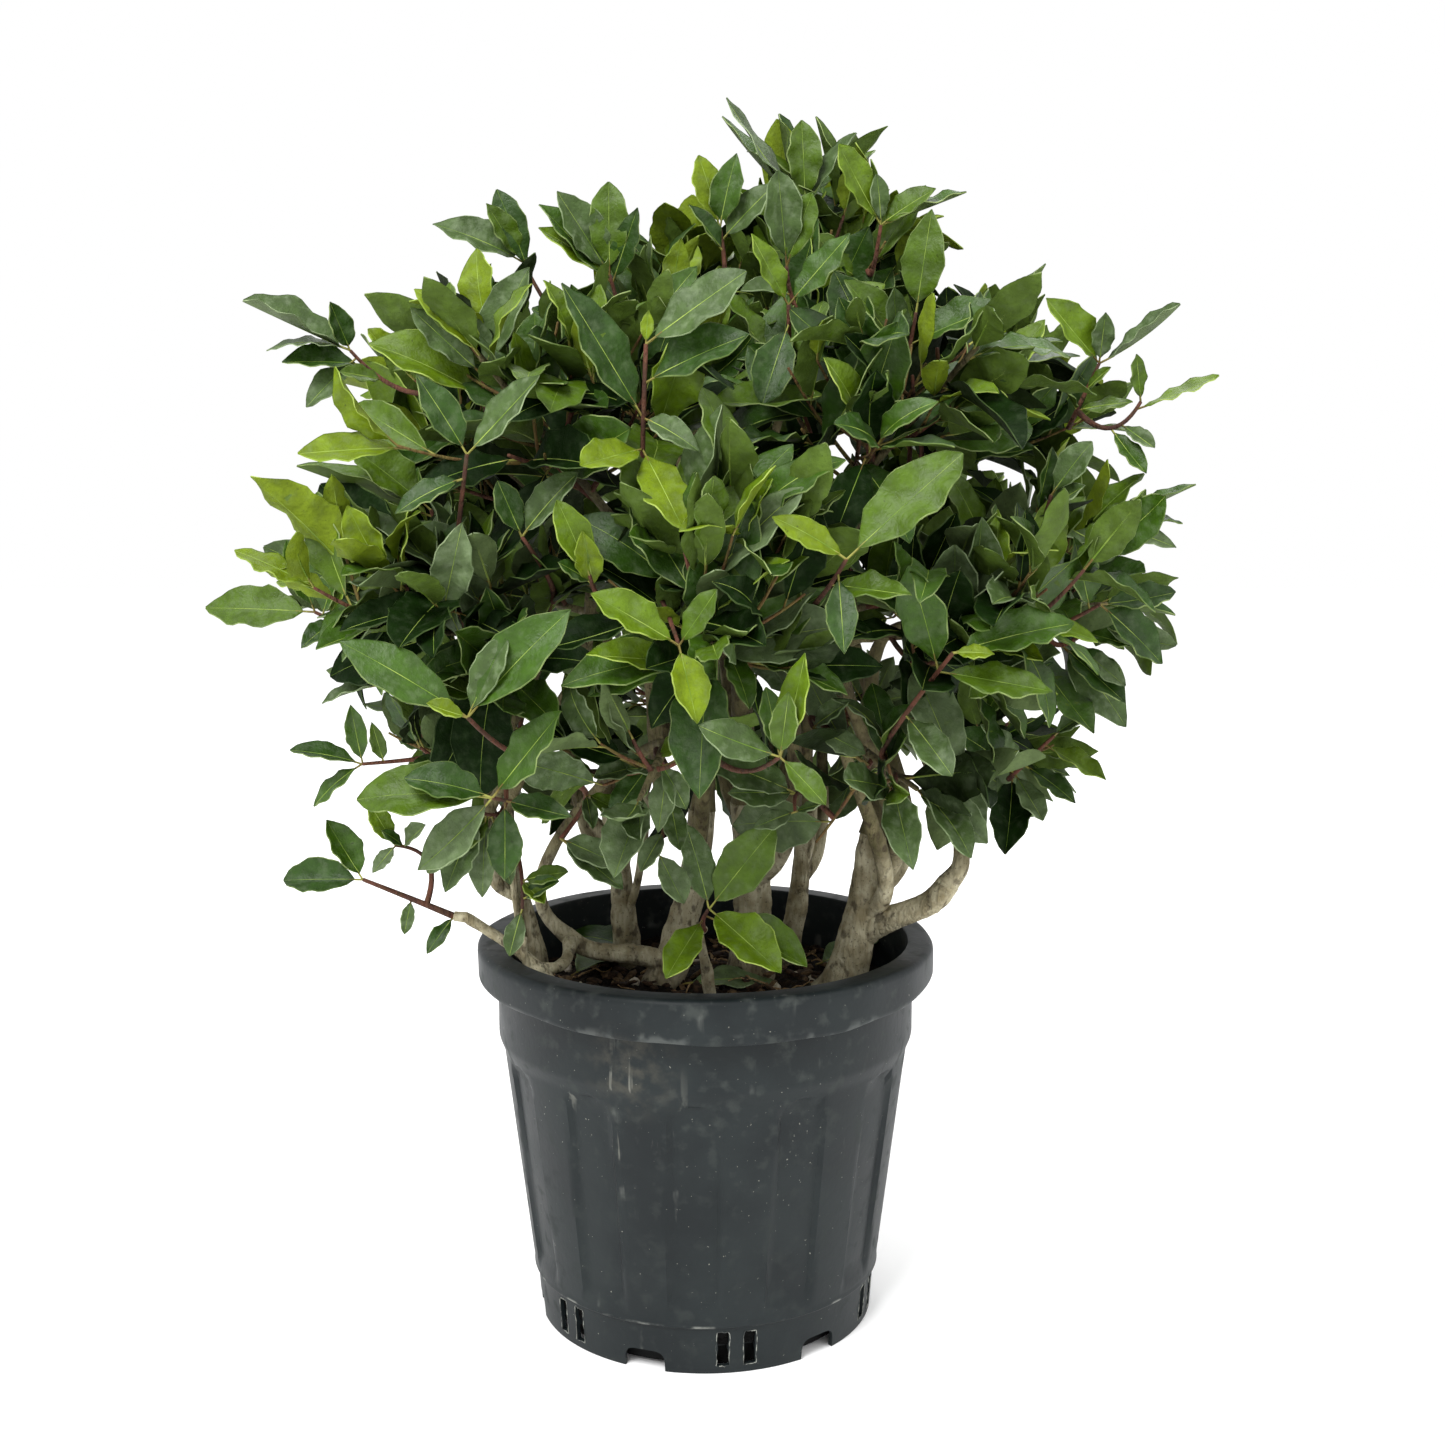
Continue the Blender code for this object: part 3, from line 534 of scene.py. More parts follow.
def makeStand(s):  # a turned ring under the pot's floor, near-black: painted shade behind the notches and slots
    radius, thick, clearance = s["stand"]
    inner, top = radius - thick, s["floor"] + 0.001
    corners = [(radius, clearance), (radius, top), (inner, top), (inner, clearance), (radius, clearance)]
    across, z = np.array(corners).T[..., None]
    columns = 120
    turn = np.arange(columns) * math.tau / columns
    heap = Heap()
    heap.put(turned(across, z, turn), gridFaces(len(corners), columns, True)[:, ::-1])
    # Painted shade: the ring is near-black so that the notches and slots look dark inside.
    heap.join("shade_ring", plainFinish("painted_shade_plastic", (5, 6, 6), (10, 11, 11), 0.7), "pot", sharp=30)


makePot(potSettings)
makeFlash(potSettings)
makeStand(potSettings)


# Soil: a round bed with a lumpy top, and bark chips, pebbles and dry roots that lie on it

soilTop = 0.200
soilSettings = {
    "lump": 0.0035,  # how high and low its top goes
    "rows": 46,
    "columns": 160,
    "clear": 0.0006,  # room between the soil and the pot
    "chips": 420,  # how many bark chips, pebbles and roots lie on it
    "pebbles": 60,
    "roots": 70,
    "chip": (0.0075, 0.0040, 0.0018),  # half sizes of the largest chip and pebble
    "pebble": 0.0038,
}


def soilHeight(x, y):  # the soil's top: two sizes of ripples
    spots = np.stack([x, y], -1)
    lumpy = 0.6 * ripples(spots, 0.040, 21) + 0.4 * ripples(spots, 0.012, 22)
    return soilTop + soilSettings["lump"] * lumpy


def makeSoil(s, pot):  # a turned bed: its underside, the pot's inside and the lumpy top, row by row
    inside = pot["rim"] - pot["lip"] - pot["wall"] - s["clear"]
    floorTop = pot["floor"] + pot["wall"] + s["clear"]
    low = wallRadius(floorTop) - pot["wall"] - s["clear"]
    turn = np.arange(s["columns"]) * math.tau / s["columns"]
    hole = 0.004  # radius of the rows next to the poles
    outside = [hole, low, wallRadius(pot["collar"]) - pot["wall"] - s["clear"], inside]
    heights = np.array([floorTop, floorTop, pot["collar"] - 0.004, pot["collar"] + 0.006])
    radius = np.concatenate([outside, np.linspace(inside, hole, s["rows"])])[:, None]
    x, y = radius * np.cos(turn), radius * np.sin(turn)
    z = np.concatenate([heights[:, None] + np.zeros(s["columns"]), soilHeight(x[4:], y[4:])])
    poles = np.array([[0, 0, floorTop], [0, 0, soilHeight(np.zeros(1), np.zeros(1))[0]]])
    heap = Heap()
    heap.putClosed(np.stack([x, y, z], -1), poles)
    finish = Finish("potting_soil", gloss=0.15)
    crumbs = finish.noise(260, 5).between(0.35, 0.68)
    damp = finish.noise(30, 3).between(0.40, 0.62)
    colour = finish.mix(crumbs, shade(17, 13, 9), shade(50, 38, 27))
    colour = finish.mix(damp * 0.6, colour, shade(18, 14, 11))
    # Painted shade: the soil turns near-black towards the bottom of the pot.
    colour = finish.mix(finish.axis("Z").between(0.060, 0.035), colour, shade(5, 5, 5))
    finish.give(colour, 0.85 + crumbs * 0.1, crumbs, 0.9, 0.0020)
    heap.join("soil_bed", finish, "soil", "soil")


def scattered(count, draw, reach):  # places on the soil's top, even over its round
    turn, radius = draw.uniform(0, math.tau, count), reach * np.sqrt(draw.uniform(0, 1, count))
    x, y = radius * np.cos(turn), radius * np.sin(turn)
    return np.stack([x, y, soilHeight(x, y)], -1)


def lumps(heap, places, sizes, draw, roundness):  # egg shapes: direction^roundness times three half sizes
    turn, rise = np.arange(6) * math.tau / 6, np.radians([-52, 0, 52])
    ring = np.stack([np.cos(turn) * np.cos(rise)[:, None], np.sin(turn) * np.cos(rise)[:, None],
                     np.sin(rise)[:, None] + 0 * turn], -1).reshape(-1, 3)
    shape = np.concatenate([ring, [[0, 0, -1], [0, 0, 1]]])
    shape = np.sign(shape) * np.abs(shape) ** roundness
    count = len(places)
    shapes = shape[None] * sizes[:, None] * draw.uniform(0.75, 1.2, (count, len(shape), 1))
    spin = draw.uniform(0, math.tau, (count, 1))
    tilt = draw.normal(0, 0.35, (count, 1))
    x, y, z = shapes[..., 0], shapes[..., 1], shapes[..., 2]
    x, z = x * np.cos(tilt) - z * np.sin(tilt), x * np.sin(tilt) + z * np.cos(tilt)
    x, y = x * np.cos(spin) - y * np.sin(spin), x * np.sin(spin) + y * np.cos(spin)
    points = places[:, None] + np.stack([x, y, z], -1)
    faces = (gridFaces(3, 6, True), *capFaces(3, 6))
    heap.put(points, *[repeated(face, count, len(shape)) for face in faces])


def makeLitter(s, pot):  # chips, pebbles and dry roots with random places, sizes and turns
    draw = np.random.default_rng(31)
    reach = pot["rim"] - pot["lip"] - pot["wall"] - 0.008
    brown, tan, pale = Heap(), Heap(), Heap()
    for heap, share in ((brown, 0.65), (tan, 0.35)):
        count = int(s["chips"] * share)
        sizes = draw.uniform(0.4, 1.0, (count, 1)) * draw.uniform(0.7, 1.3, (count, 3)) * s["chip"]
        lumps(heap, scattered(count, draw, reach) + up * 0.0012, sizes, draw, 0.75)
    count = s["pebbles"]
    sizes = draw.uniform(0.4, 1.0, (count, 1)) * draw.uniform(0.8, 1.2, (count, 3)) * s["pebble"]
    lumps(pale, scattered(count, draw, reach) + up * 0.001, sizes, draw, 1.0)
    roots = Heap()
    for start in scattered(s["roots"], draw, reach * 0.95):
        t = np.linspace(-0.5, 0.5, 9)
        way, size, bow = draw.uniform(0, math.tau), draw.uniform(0.012, 0.034), draw.normal(0, 0.006)
        x = start[0] + size * t * math.cos(way) - bow * np.cos(math.pi * t) * math.sin(way)
        y = start[1] + size * t * math.sin(way) + bow * np.cos(math.pi * t) * math.cos(way)
        z = soilHeight(x, y) + 0.0008 + draw.uniform(0, 0.004) * np.cos(math.pi * t)
        near = np.hypot(x, y) < reach
        if near.all():
            tube(roots, np.stack([x, y, z], -1), np.full(9, draw.uniform(0.0003, 0.0008)), 5)
    for name, heap, first, second in (
        ("brown_chips", brown, (32, 23, 16), (64, 47, 33)),
        ("tan_chips", tan, (66, 51, 36), (104, 83, 58)),
        ("pebbles", pale, (150, 140, 120), (190, 182, 166)),
        ("dry_roots", roots, (112, 90, 62), (160, 134, 98)),
    ):
        finish = Finish(name + "_look", gloss=0.2)
        grain = finish.noise(480, 4)
        colour = finish.mix(grain.between(0.35, 0.65), shade(*first), shade(*second))
        finish.give(colour, 0.80 + grain * 0.1, grain, 0.6, 0.0008)
        heap.join(name, finish, "soil")


makeSoil(soilSettings, potSettings)
makeLitter(soilSettings, potSettings)


# The limbs: the same paths as the solids, with finer steps and the bark's relief

stems = {  # foot on the soil, tip at the fork, radii at both, and how far the middle bows out
    "stem_right": ((0.079, -0.014), (0.103, -0.008, 0.300), (0.0120, 0.0095), -0.004),
    "stem_rear": ((0.050, 0.062), (0.064, 0.062, 0.300), (0.0068, 0.0056), -0.003),
    "stem_middle": ((0.029, 0.034), (0.026, 0.030, 0.313), (0.0128, 0.0105), 0.003),
    "stem_left": ((-0.030, 0.012), (-0.002, 0.016, 0.310), (0.0098, 0.0082), -0.005),
    "stem_back": ((-0.052, 0.060), (-0.062, 0.066, 0.300), (0.0080, 0.0064), 0.003),
    "stem_side": ((-0.104, 0.022), (-0.131, 0.026, 0.296), (0.0058, 0.0046), 0.004),
    "stem_low_left": ((-0.084, -0.050), (-0.142, -0.040, 0.256), (0.0038, 0.0028), 0.018),
    "stem_front": ((0.006, -0.052), (-0.004, -0.076, 0.260), (0.0032, 0.0024), 0.002),
}
lowLimbs = {  # parent, share of its length, far end, radii
    "limb_creeping": ("stem_left", 0.16, (-0.086, -0.004, 0.236), (0.0062, 0.0052)),
    "limb_right_knee": ("stem_right", 0.40, (0.146, -0.030, 0.275), (0.0078, 0.0066)),
}
heart = np.array([0.006, 0.0, 0.415])
lobes = {  # middle, half sizes sideways and forwards, then half height and power above and below
    "skirt": ((0.006, 0.0, 0.445), (0.270, 0.268), (0.208, 3.0), (0.203, 2.0)),
    "tuft": ((0.020, 0.0, 0.500), (0.178, 0.176), (0.226, 2.2), (0.260, 2.0)),
}
rings = {  # lobe, rise, first azimuth, share where the bough hands over, then who carries each mass
    "low": ("skirt", -20, 0, 0.60, [
        ("limb_right_knee", 1.00, 1.00), ("stem_rear", 0.62, 1.00), ("stem_back", 0.42, 1.00),
        ("stem_back", 0.66, 1.00), ("stem_side", 0.60, 1.00), ("limb_creeping", 1.00, 1.00),
        ("stem_right", 0.56, 1.00)]),
    "middle": ("skirt", 6, 0, 0.46, [
        ("stem_right", 1.00, 1.10), ("stem_rear", 1.00, 1.04), ("stem_rear", 0.84, 1.08),
        ("stem_back", 1.00, 1.04), ("stem_side", 1.00, 1.13), ("stem_side", 0.80, 1.04),
        ("stem_left", 0.62, 1.08), ("stem_right", 0.74, 1.04)]),
    "shoulder": ("skirt", 38, 20, 0.44, [
        ("stem_right", 0.66, 1.06), ("stem_middle", 0.70, 1.03), ("stem_back", 0.84, 1.04),
        ("stem_left", 0.80, 1.03), ("stem_middle", 0.58, 1.05)]),
    "top": ("tuft", 74, 350, 0.42, [
        ("stem_middle", 1.00, 1.03), ("stem_middle", 0.84, 0.99), ("stem_left", 1.00, 0.98)]),
}
sprays = {  # the stem that each low spray ends, and its furthest tip
    "spray_left": ("stem_low_left", (-0.262, -0.044, 0.270)),
    "spray_front": ("stem_front", (0.044, -0.142, 0.252)),
}
limbSettings = {
    "bough": (0.0058, 0.0026),  # radii at both ends
    "seat": 0.007,  # straight length where limbs meet
    "ofParent": 0.86,  # a side bough's foot as a share of its parent's radius
    "alongParent": 0.45,  # how much it leans along its parent
    "rooted": 0.008,  # how deep a stem stands in the soil
    "flare": 0.38,  # how much wider a stem is at the soil, and how high that reaches
    "flareHeight": 0.014,
    "collar": 0.30,  # how much wider a limb is where it leaves, and how far that reaches
    "collarLength": 0.010,
}


def stemPath(foot, tip, radii, bow, onward):  # a straight line less bow * sin(pi t) along its own lean
    foot, tip = np.array([*foot, soilTop - limbSettings["rooted"]]), np.array(tip)
    lean = unit(np.array([tip[0] - foot[0], tip[1] - foot[1], 0]))
    t = np.linspace(0, 1, 44)[:, None]
    path = foot + (tip - foot) * t - lean * bow * np.sin(math.pi * t)
    flare = 1 + limbSettings["flare"] * np.exp(-(path[:, 2] - soilTop).clip(0) / limbSettings["flareHeight"])
    wide = (radii[0] + (radii[1] - radii[0]) * t[:, 0]) * flare
    if onward is not None:
        path = np.concatenate([path, tip[None] + unit(np.array(onward) - tip) * limbSettings["seat"]])
        wide = np.append(wide, radii[1])
    return path, wide


# A cubic between a short straight seat at each end: it leaves one way and arrives another, with a
# collar at its foot, collar * exp(-length from the foot / collarLength)
def bendingPath(start, leave, end, arrive, radii, steps=36):
    seat = limbSettings["seat"]
    near, far = start + leave * seat, end - arrive * seat
    third = np.linalg.norm(far - near) / 3
    t = np.linspace(0, 1, steps)[:, None]
    s = 1 - t
    first, second = near + leave * third, far - arrive * third
    curve = near * s**3 + first * 3 * s * s * t + second * 3 * s * t * t + far * t**3
    path = np.concatenate([start[None], curve, end[None]])
    collar = 1 + limbSettings["collar"] * np.exp(-lengthsOf(path) / limbSettings["collarLength"])
    return path, np.linspace(radii[0], radii[1], len(path)) * collar


def along(path, radii, share):  # place, heading and radius at a share of a path's points
    at = share * (len(path) - 1)
    k = min(int(at), len(path) - 2)
    part = at - k
    place = path[k] * (1 - part) + path[k + 1] * part
    return place, unit(path[k + 1] - path[k]), radii[k] * (1 - part) + radii[k + 1] * part


def directionOf(azimuth, rise):  # a unit vector from degrees round and degrees up
    a, e = math.radians(azimuth), math.radians(rise)
    return np.array([math.cos(a) * math.cos(e), math.sin(a) * math.cos(e), math.sin(e)])


# Under 1 inside a lobe: |x/a|^n + |y/b|^n + |z/c|^n, where c and n above the middle aren't those below it
def lobeDepth(points, lobe, reach=1.0):
    middle, (wide, deep), above, below = lobe
    x, y, z = np.moveaxis((points - np.array(middle)) / reach, -1, 0)
    height, power = (np.where(z > 0, a, b) for a, b in zip(above, below))
    return np.abs(x / wide) ** power + np.abs(y / deep) ** power + np.abs(z / height) ** power


def skinPoint(start, direction, lobe):  # where a ray leaves a lobe, found by halving
    near, far = 0.0, 1.0
    for _ in range(30):
        half = (near + far) / 2
        near, far = (half, far) if lobeDepth(start + direction * half, lobe) < 1 else (near, half)
    return start + direction * near


def crownPlan():  # each mass: its furthest tip, lobe and reach, the share where its bough ends, its carrier
    plan = {}
    for ring, (lobe, rise, first, entry, carried) in rings.items():
        for k, (limb, share, reach) in enumerate(carried):
            skin = skinPoint(heart, directionOf(first + 360 * k / len(carried), rise), lobes[lobe])
            tip = heart + (skin - heart) * reach
            plan[f"{ring}_{k}"] = (tip, lobe, (1 + reach) / 2, entry / reach, limb, share)
    return plan


def limbPaths():  # path and radii of each stem, low limb and bough; later ones leave earlier ones
    paths = {}
    onward = dict(sprays.values())
    for name, (foot, tip, radii, bow) in stems.items():
        paths[name] = stemPath(foot, tip, radii, bow, onward.get(name))
    for name, (parent, share, end, radii) in lowLimbs.items():
        start, heading, _ = along(*paths[parent], share)
        towards = unit(np.array(end) - start)
        leave, arrive = unit(towards + heading * 0.2), unit(towards + up * 0.5)
        paths[name] = bendingPath(start, leave, np.array(end), arrive, radii)
    for name, (tip, _, _, entry, parent, share) in crownPlan().items():
        out = unit(tip - heart)
        start, heading, parentRadius = along(*paths[parent], share)
        if share == 1.0:
            leave, thick = heading, parentRadius / (1 + limbSettings["collar"])
        else:
            leave = unit(unit(out * [1, 1, 0]) + heading * limbSettings["alongParent"])
            thick = min(limbSettings["bough"][0], limbSettings["ofParent"] * parentRadius)
        end = heart + (tip - heart) * entry
        paths["bough_" + name] = bendingPath(start, leave, end, out, (thick, limbSettings["bough"][1]))
    return paths


barkSettings = {
    "sides": (30, 14),  # of a stem or low limb, and of thinner ones
    "knots": 6,
    "knotHeight": 0.17,
    "groove": 0.035,
    "ring": 0.018,
    "ringStep": 0.0047,
}


# Relief as shares of the radius: ripples drawn out along the limb, a sine for its rings, and round knots,
# each knotHeight * exp(-(distance / size)^2)
def barkRelief(path, radii, sides, seed, s):
    draw = np.random.default_rng(seed)
    lengths = lengthsOf(path)
    a, length = np.meshgrid(np.arange(sides) * math.tau / sides, lengths)
    surface = np.stack([np.cos(a) * 0.012, np.sin(a) * 0.012, length * 0.30], -1)
    relief = s["groove"] * (ripples(surface, 0.011, seed) + ripples(surface, 0.004, seed + 1))
    wave = np.sin(length / s["ringStep"] * math.tau + 0.8 * np.sin(a))
    relief += s["ring"] * wave * draw.uniform(0, 1, len(path))[:, None]
    for _ in range(s["knots"]):
        at, facing = draw.uniform(0.05, 0.95) * lengths[-1], draw.uniform(0, math.tau)
        size = draw.uniform(0.003, 0.008)
        away = np.angle(np.exp(1j * (a - facing))) * radii[:, None]
        relief += s["knotHeight"] * np.exp(-((length - at) ** 2 + away**2) / size**2)
    return relief


def barkTube(heap, path, radii, sides, seed, **changes):  # a tube in bark, with other bark settings if asked
    tube(heap, path, radii, sides, barkRelief(path, radii, sides, seed, {**barkSettings, **changes}))


def barkFinish(name, tones, upper=None, change=(0.27, 0.40)):  # smooth bark with other tones higher up
    finish = Finish(name, gloss=0.22)
    blotch = finish.noise(75, 6).between(0.36, 0.66)
    grain = finish.noise(430, 3, (1, 1, 0.22)).between(0.32, 0.70)
    speck = finish.noise(620, 3).between(0.60, 0.70)
    crack = finish.noise(170, 5, (1, 1, 0.6)).between(0.55, 0.68)
    pale, dark, tint = (shade(*tone) for tone in tones)
    if upper:
        high = finish.axis("Z").between(*change)
        pale, dark, tint = (finish.mix(high, shade(*a), shade(*b)) for a, b in zip(tones, upper))
    colour = finish.mix(blotch, pale, dark)
    colour = finish.mix(grain * 0.40, colour, tint)
    colour = finish.mix(speck * 0.55, colour, shade(46, 38, 28))
    colour = finish.mix(crack * 0.70, colour, shade(62, 52, 38))
    # The bark grows darker towards the soil line.
    nearSoil = 1 - finish.axis("Z").between(0.200, 0.226)
    colour = finish.mix(nearSoil * 0.55, colour, shade(64, 54, 40))
    return finish.give(colour, 0.74 + grain * 0.16, grain + blotch * 0.9 - crack * 1.2, 0.7, 0.0011)


paths = limbPaths()
greyTones = ((190, 183, 155), (130, 121, 94), (142, 130, 98))  # pale, dark and grain
oliveTones = ((108, 100, 70), (70, 62, 42), (84, 84, 52))
bark = barkFinish("grey_bark", greyTones, oliveTones)
youngBark = barkFinish("olive_bark", greyTones, oliveTones, (0.270, 0.305))
spurs = {  # short side shoots and cut ends of a limb: start, knee, end and both radii
    "limb_right_knee": [
        ((0.136, -0.028, 0.260), (0.139, -0.032, 0.266), (0.141, -0.036, 0.272), 0.0056, 0.0046),
    ],
    "limb_creeping": [
        ((-0.084, -0.006, 0.234), (-0.080, -0.032, 0.220), (-0.096, -0.048, 0.2275), 0.0038, 0.0030),
        ((-0.095, -0.048, 0.2275), (-0.109, -0.050, 0.222), (-0.106, -0.052, 0.247), 0.0030, 0.0015),
    ],
    "stem_rear": [((0.058, 0.060, 0.255), (0.070, 0.058, 0.270), (0.070, 0.056, 0.305), 0.0020, 0.0014)],
    "stem_side": [((-0.112, 0.020, 0.215), (-0.122, 0.012, 0.250), (-0.120, 0.010, 0.320), 0.0026, 0.0018)],
    "stem_back": [((-0.056, 0.058, 0.225), (-0.040, 0.052, 0.250), (-0.038, 0.050, 0.315), 0.0030, 0.0022)],
}
sides, fewSides = barkSettings["sides"]
for number, name in enumerate([*stems, *lowLimbs]):
    heap = Heap()
    barkTube(heap, *paths[name], sides, 40 + number)
    for start, knee, end, thick, thin in spurs.get(name, ()):
        barkTube(heap, bent(start, knee, end, 12), np.linspace(thick, thin, 12), fewSides, 60 + number)
    heap.join(name + "_bark", bark, "bark", name)
boughs = Heap()
for number, name in enumerate(crownPlan()):
    barkTube(boughs, *paths["bough_" + name], fewSides, 80 + number, knots=4)
boughs.join("boughs_bark", youngBark, "young_bark", *["bough_" + name for name in crownPlan()])


# Foliage: the solids' own rule, carried to finer twigs and to leaves of the real size

growth = {
    "coreShare": 0.60,
    "lowest": 0.246,
    "twigs": 11,
    "twigShares": (0.04, 0.94),
    "twigSpreads": (68, 34),
    "twigLengths": (0.016, 0.120),
    "twiglets": 4,
    "twigletSpread": 46,
    "tipRoom": 0.036,  # kept between a shoot's end and its space's edge, for the leaves
    "lift": 0.40,
    "rise": 0.24,  # how much a shoot bends up along its length
    "shorter": (1.0, 0.84, 0.70),  # a leaf that doesn't fit is tried again at these shares of its length
    "overBorder": 0.012,  # how far a leaf may reach into the next mass
    "ragged": (0.84, 1.02),  # how far out of the lobe's reach each side shoot's leaves may come
    "leafLength": (0.053, 0.086),
    "leafWidth": (0.34, 0.46),
    "leafGaps": (0.001, 0.005, 0.012, 0.021, 0.032, 0.045, 0.060, 0.076, 0.093),  # from a shoot's end
    "shownThick": 0.0019,  # radius of a shown shoot, and how many points its curve has
    "shownPoints": 13,
    "elbow": 0.013,  # no leaf comes nearer than this to a shown leaf
    "hiding": 0.18,  # distances in front of a shown leaf count as so much of themselves
    # places on the stems that no leaf hides, and the distances towards the camera where they are kept clear
    "open": ((0.085, -0.020, 0.243), (0.090, -0.020, 0.262), (0.095, -0.020, 0.280), (0.099, -0.020, 0.296),
             (0.119, -0.010, 0.272), (0.061, 0.050, 0.244), (0.063, 0.050, 0.271)),
    "sight": (0.01, 0.05, 0.10),
    # masses that the plant keeps short
    "trims": {"top_2": 0.73, "top_1": 0.87, "middle_4": 0.86, "middle_0": 0.95, "shoulder_2": 0.93},
    "droop": ((0.27, 0.38), (-0.30, 0.18)),  # heights, and how much leaves bend up there
    "seed": 300,
}


class Space:  # the room of one mass: nearer to its middle than to any other, and inside its lobe
    def __init__(self, index, middles, lobe, reach, trim):
        self.trim = trim
        self.own, self.others = middles[index], np.delete(middles, index, axis=0)
        self.gaps = 2 * np.linalg.norm(self.others - self.own, axis=1)
        self.lobe, self.reach = lobe, reach

    def holds(self, points, over=0.0, reach=None):  # which points are in it, or a little over its border
        near = ((points - self.own) ** 2).sum(-1)[..., None]
        far = ((points[..., None, :] - self.others) ** 2).sum(-1)
        border = ((far - near) / self.gaps > -over).all(-1)
        inside = lobeDepth(points, self.lobe, reach or self.reach) < 1
        return border & inside & (points[..., 2] > growth["lowest"])

    def room(self, foot, way, reach):  # how far a straight line stays in it
        free = self.holds(foot + way * (np.arange(1, 26) * 0.01)[:, None], 0.0, reach)
        return 0.01 * (len(free) if free.all() else int(np.argmin(free)))


def sideways(axis, turn):  # a unit vector square to an axis, turned round it
    side = unit(np.cross(axis, [0.31, 0.95, 0.05] if abs(axis[1]) < 0.9 else [1.0, 0.1, 0.2]))
    return side * math.cos(turn) + np.cross(axis, side) * math.sin(turn)


class Foliage:  # every shoot and leaf of the crown, as rows of numbers that become arrays
    def __init__(self, limbs):
        self.shoots, self.leaves = [], []
        self.limbPoints = np.concatenate([path for path, _ in limbs])
        self.limbRadii = np.concatenate([radii for _, radii in limbs])

    def clear(self, points):  # whether points stay out of the bark of the limbs
        away = np.linalg.norm(points[:, None] - self.limbPoints[None], axis=-1) - self.limbRadii[None]
        return away.min() > 0.002

    def grow(self, space, start, tip, thick, draw):  # a mass's stem with a leaf at its tip, then its twigs
        heading = unit(tip - start)
        tip = start + (tip - start) * space.trim
        size = np.linalg.norm(tip - start) - growth["leafLength"][0]
        path = self.addShoot(space, space.reach, start, heading, size, thick, draw, 0)
        self.place(path[-1], tip, None, (0.1, 0.1, 1.0))
        for k in range(growth["twigs"]):
            part = k / (growth["twigs"] - 1)
            share = growth["twigShares"][0] * (1 - part) + growth["twigShares"][1] * part
            spread = growth["twigSpreads"][0] * (1 - part) + growth["twigSpreads"][1] * part
            self.branch(space, start + heading * size * share, heading, spread, k * goldenAngle, draw, 1, 1.0)

    # A side shoot: its way turns from the heading by the spread and lifts, and it carries its own side shoots
    def branch(self, space, foot, heading, spread, turn, draw, level, scale):
        angle = math.radians(spread + draw.uniform(-8, 8))
        outward = sideways(heading, turn + draw.uniform(-0.5, 0.5))
        way = unit(heading * math.cos(angle) + outward * math.sin(angle) + up * growth["lift"])
        shortest, longest = growth["twigLengths"]
        reach = draw.uniform(*growth["ragged"]) * space.trim
        size = min(space.room(foot, way, reach) - growth["tipRoom"], longest * scale) * draw.uniform(0.8, 1.0)
        if size < shortest:
            return
        path = self.addShoot(space, reach, foot, way, size, 0.0017 if level == 1 else 0.0012, draw, level)
        if path is not None and level < 2:
            for k in range(growth["twiglets"]):
                start = along(path, np.zeros(len(path)), 0.2 + 0.6 * k / growth["twiglets"])[0]
                spread = growth["twigletSpread"]
                self.branch(space, start, way, spread, turn + k * goldenAngle, draw, level + 1, 0.60)

    # A shoot: foot + way * size * t, bent up by rise * t squared, with leaves set spirally from its end; a
    # side shoot ends at its outermost leaf
    def addShoot(self, space, reach, foot, way, size, thick, draw, level):
        rise = growth["rise"] * draw.uniform(0.3, 1.6) * (level > 0)
        t = np.linspace(0, 1, 9)[:, None]
        path = foot + way * size * t + up * size * rise * t * t
        turn, age = draw.uniform(0, math.tau), draw.uniform(0, 1)
        placed = []
        for order, back in enumerate(growth["leafGaps"]):
            if back < 0.75 * size:
                root, heading, _ = along(path, np.zeros(9), 1 - back / size)
                if self.addLeaf(space, reach, root, heading, turn + order * goldenAngle, order, age, draw):
                    placed.append(back)
        if level and not placed:
            return None
        if level:
            t = t * (1 - placed[0] / size)
            path = foot + way * size * t + up * size * rise * t * t
        self.shoots.append((path, thick, level))
        return path

    # A leaf leans out from the shoot by its place in the spiral, and is kept only where the mass has room
    def addLeaf(self, space, reach, root, heading, turn, order, age, draw):
        spread = math.radians(min(14 + 11 * order, 60) + draw.uniform(-9, 9))
        outward = sideways(heading, turn)
        lift = up * np.interp(root[2], *growth["droop"])
        way = unit(heading * math.cos(spread) + outward * math.sin(spread) + lift)
        length = draw.uniform(*growth["leafLength"]) * (0.70 + 0.30 * min(order / 2, 1))
        face = heading - way * (heading @ way) + 0.35 * (up - way * way[2]) + 0.15 * draw.normal(size=3)
        face = unit(face - way * (face @ way))
        chance = draw.uniform()
        for share in growth["shorter"]:
            spine = root + way * length * share * np.array([[0.35], [0.7], [1.0]])
            if space.holds(spine, growth["overBorder"], reach).all() and self.clear(spine):
                self.leaves.append((root, way, face, length * share, order, age, chance, None))
                return True
        return False

    def place(self, root, tip, kind, face=(0.0, -0.8, 0.7)):  # a leaf that the plant shows in its own place
        root, face = np.array(root), np.array(face)
        reach = np.array(tip) - root
        way = unit(reach)
        face = unit(face - way * (face @ way))
        self.leaves.append((root, way, face, np.linalg.norm(reach), 2, 0.5, 0.5, kind))

    def show(self, start, knee, end, thick, leaves):  # a shoot on a curve, and the leaves at points of it
        path = bent(start, knee, end, growth["shownPoints"])
        self.shoots.append((path, thick, 1))
        for point, tip, *rest in leaves:
            self.place(path[point], tip, *rest)

    def nearestShoot(self, spot):  # the place on the shoots so far that lies nearest to a spot
        points = np.concatenate([path for path, _, _ in self.shoots])
        return points[np.linalg.norm(points - np.array(spot), axis=1).argmin()]

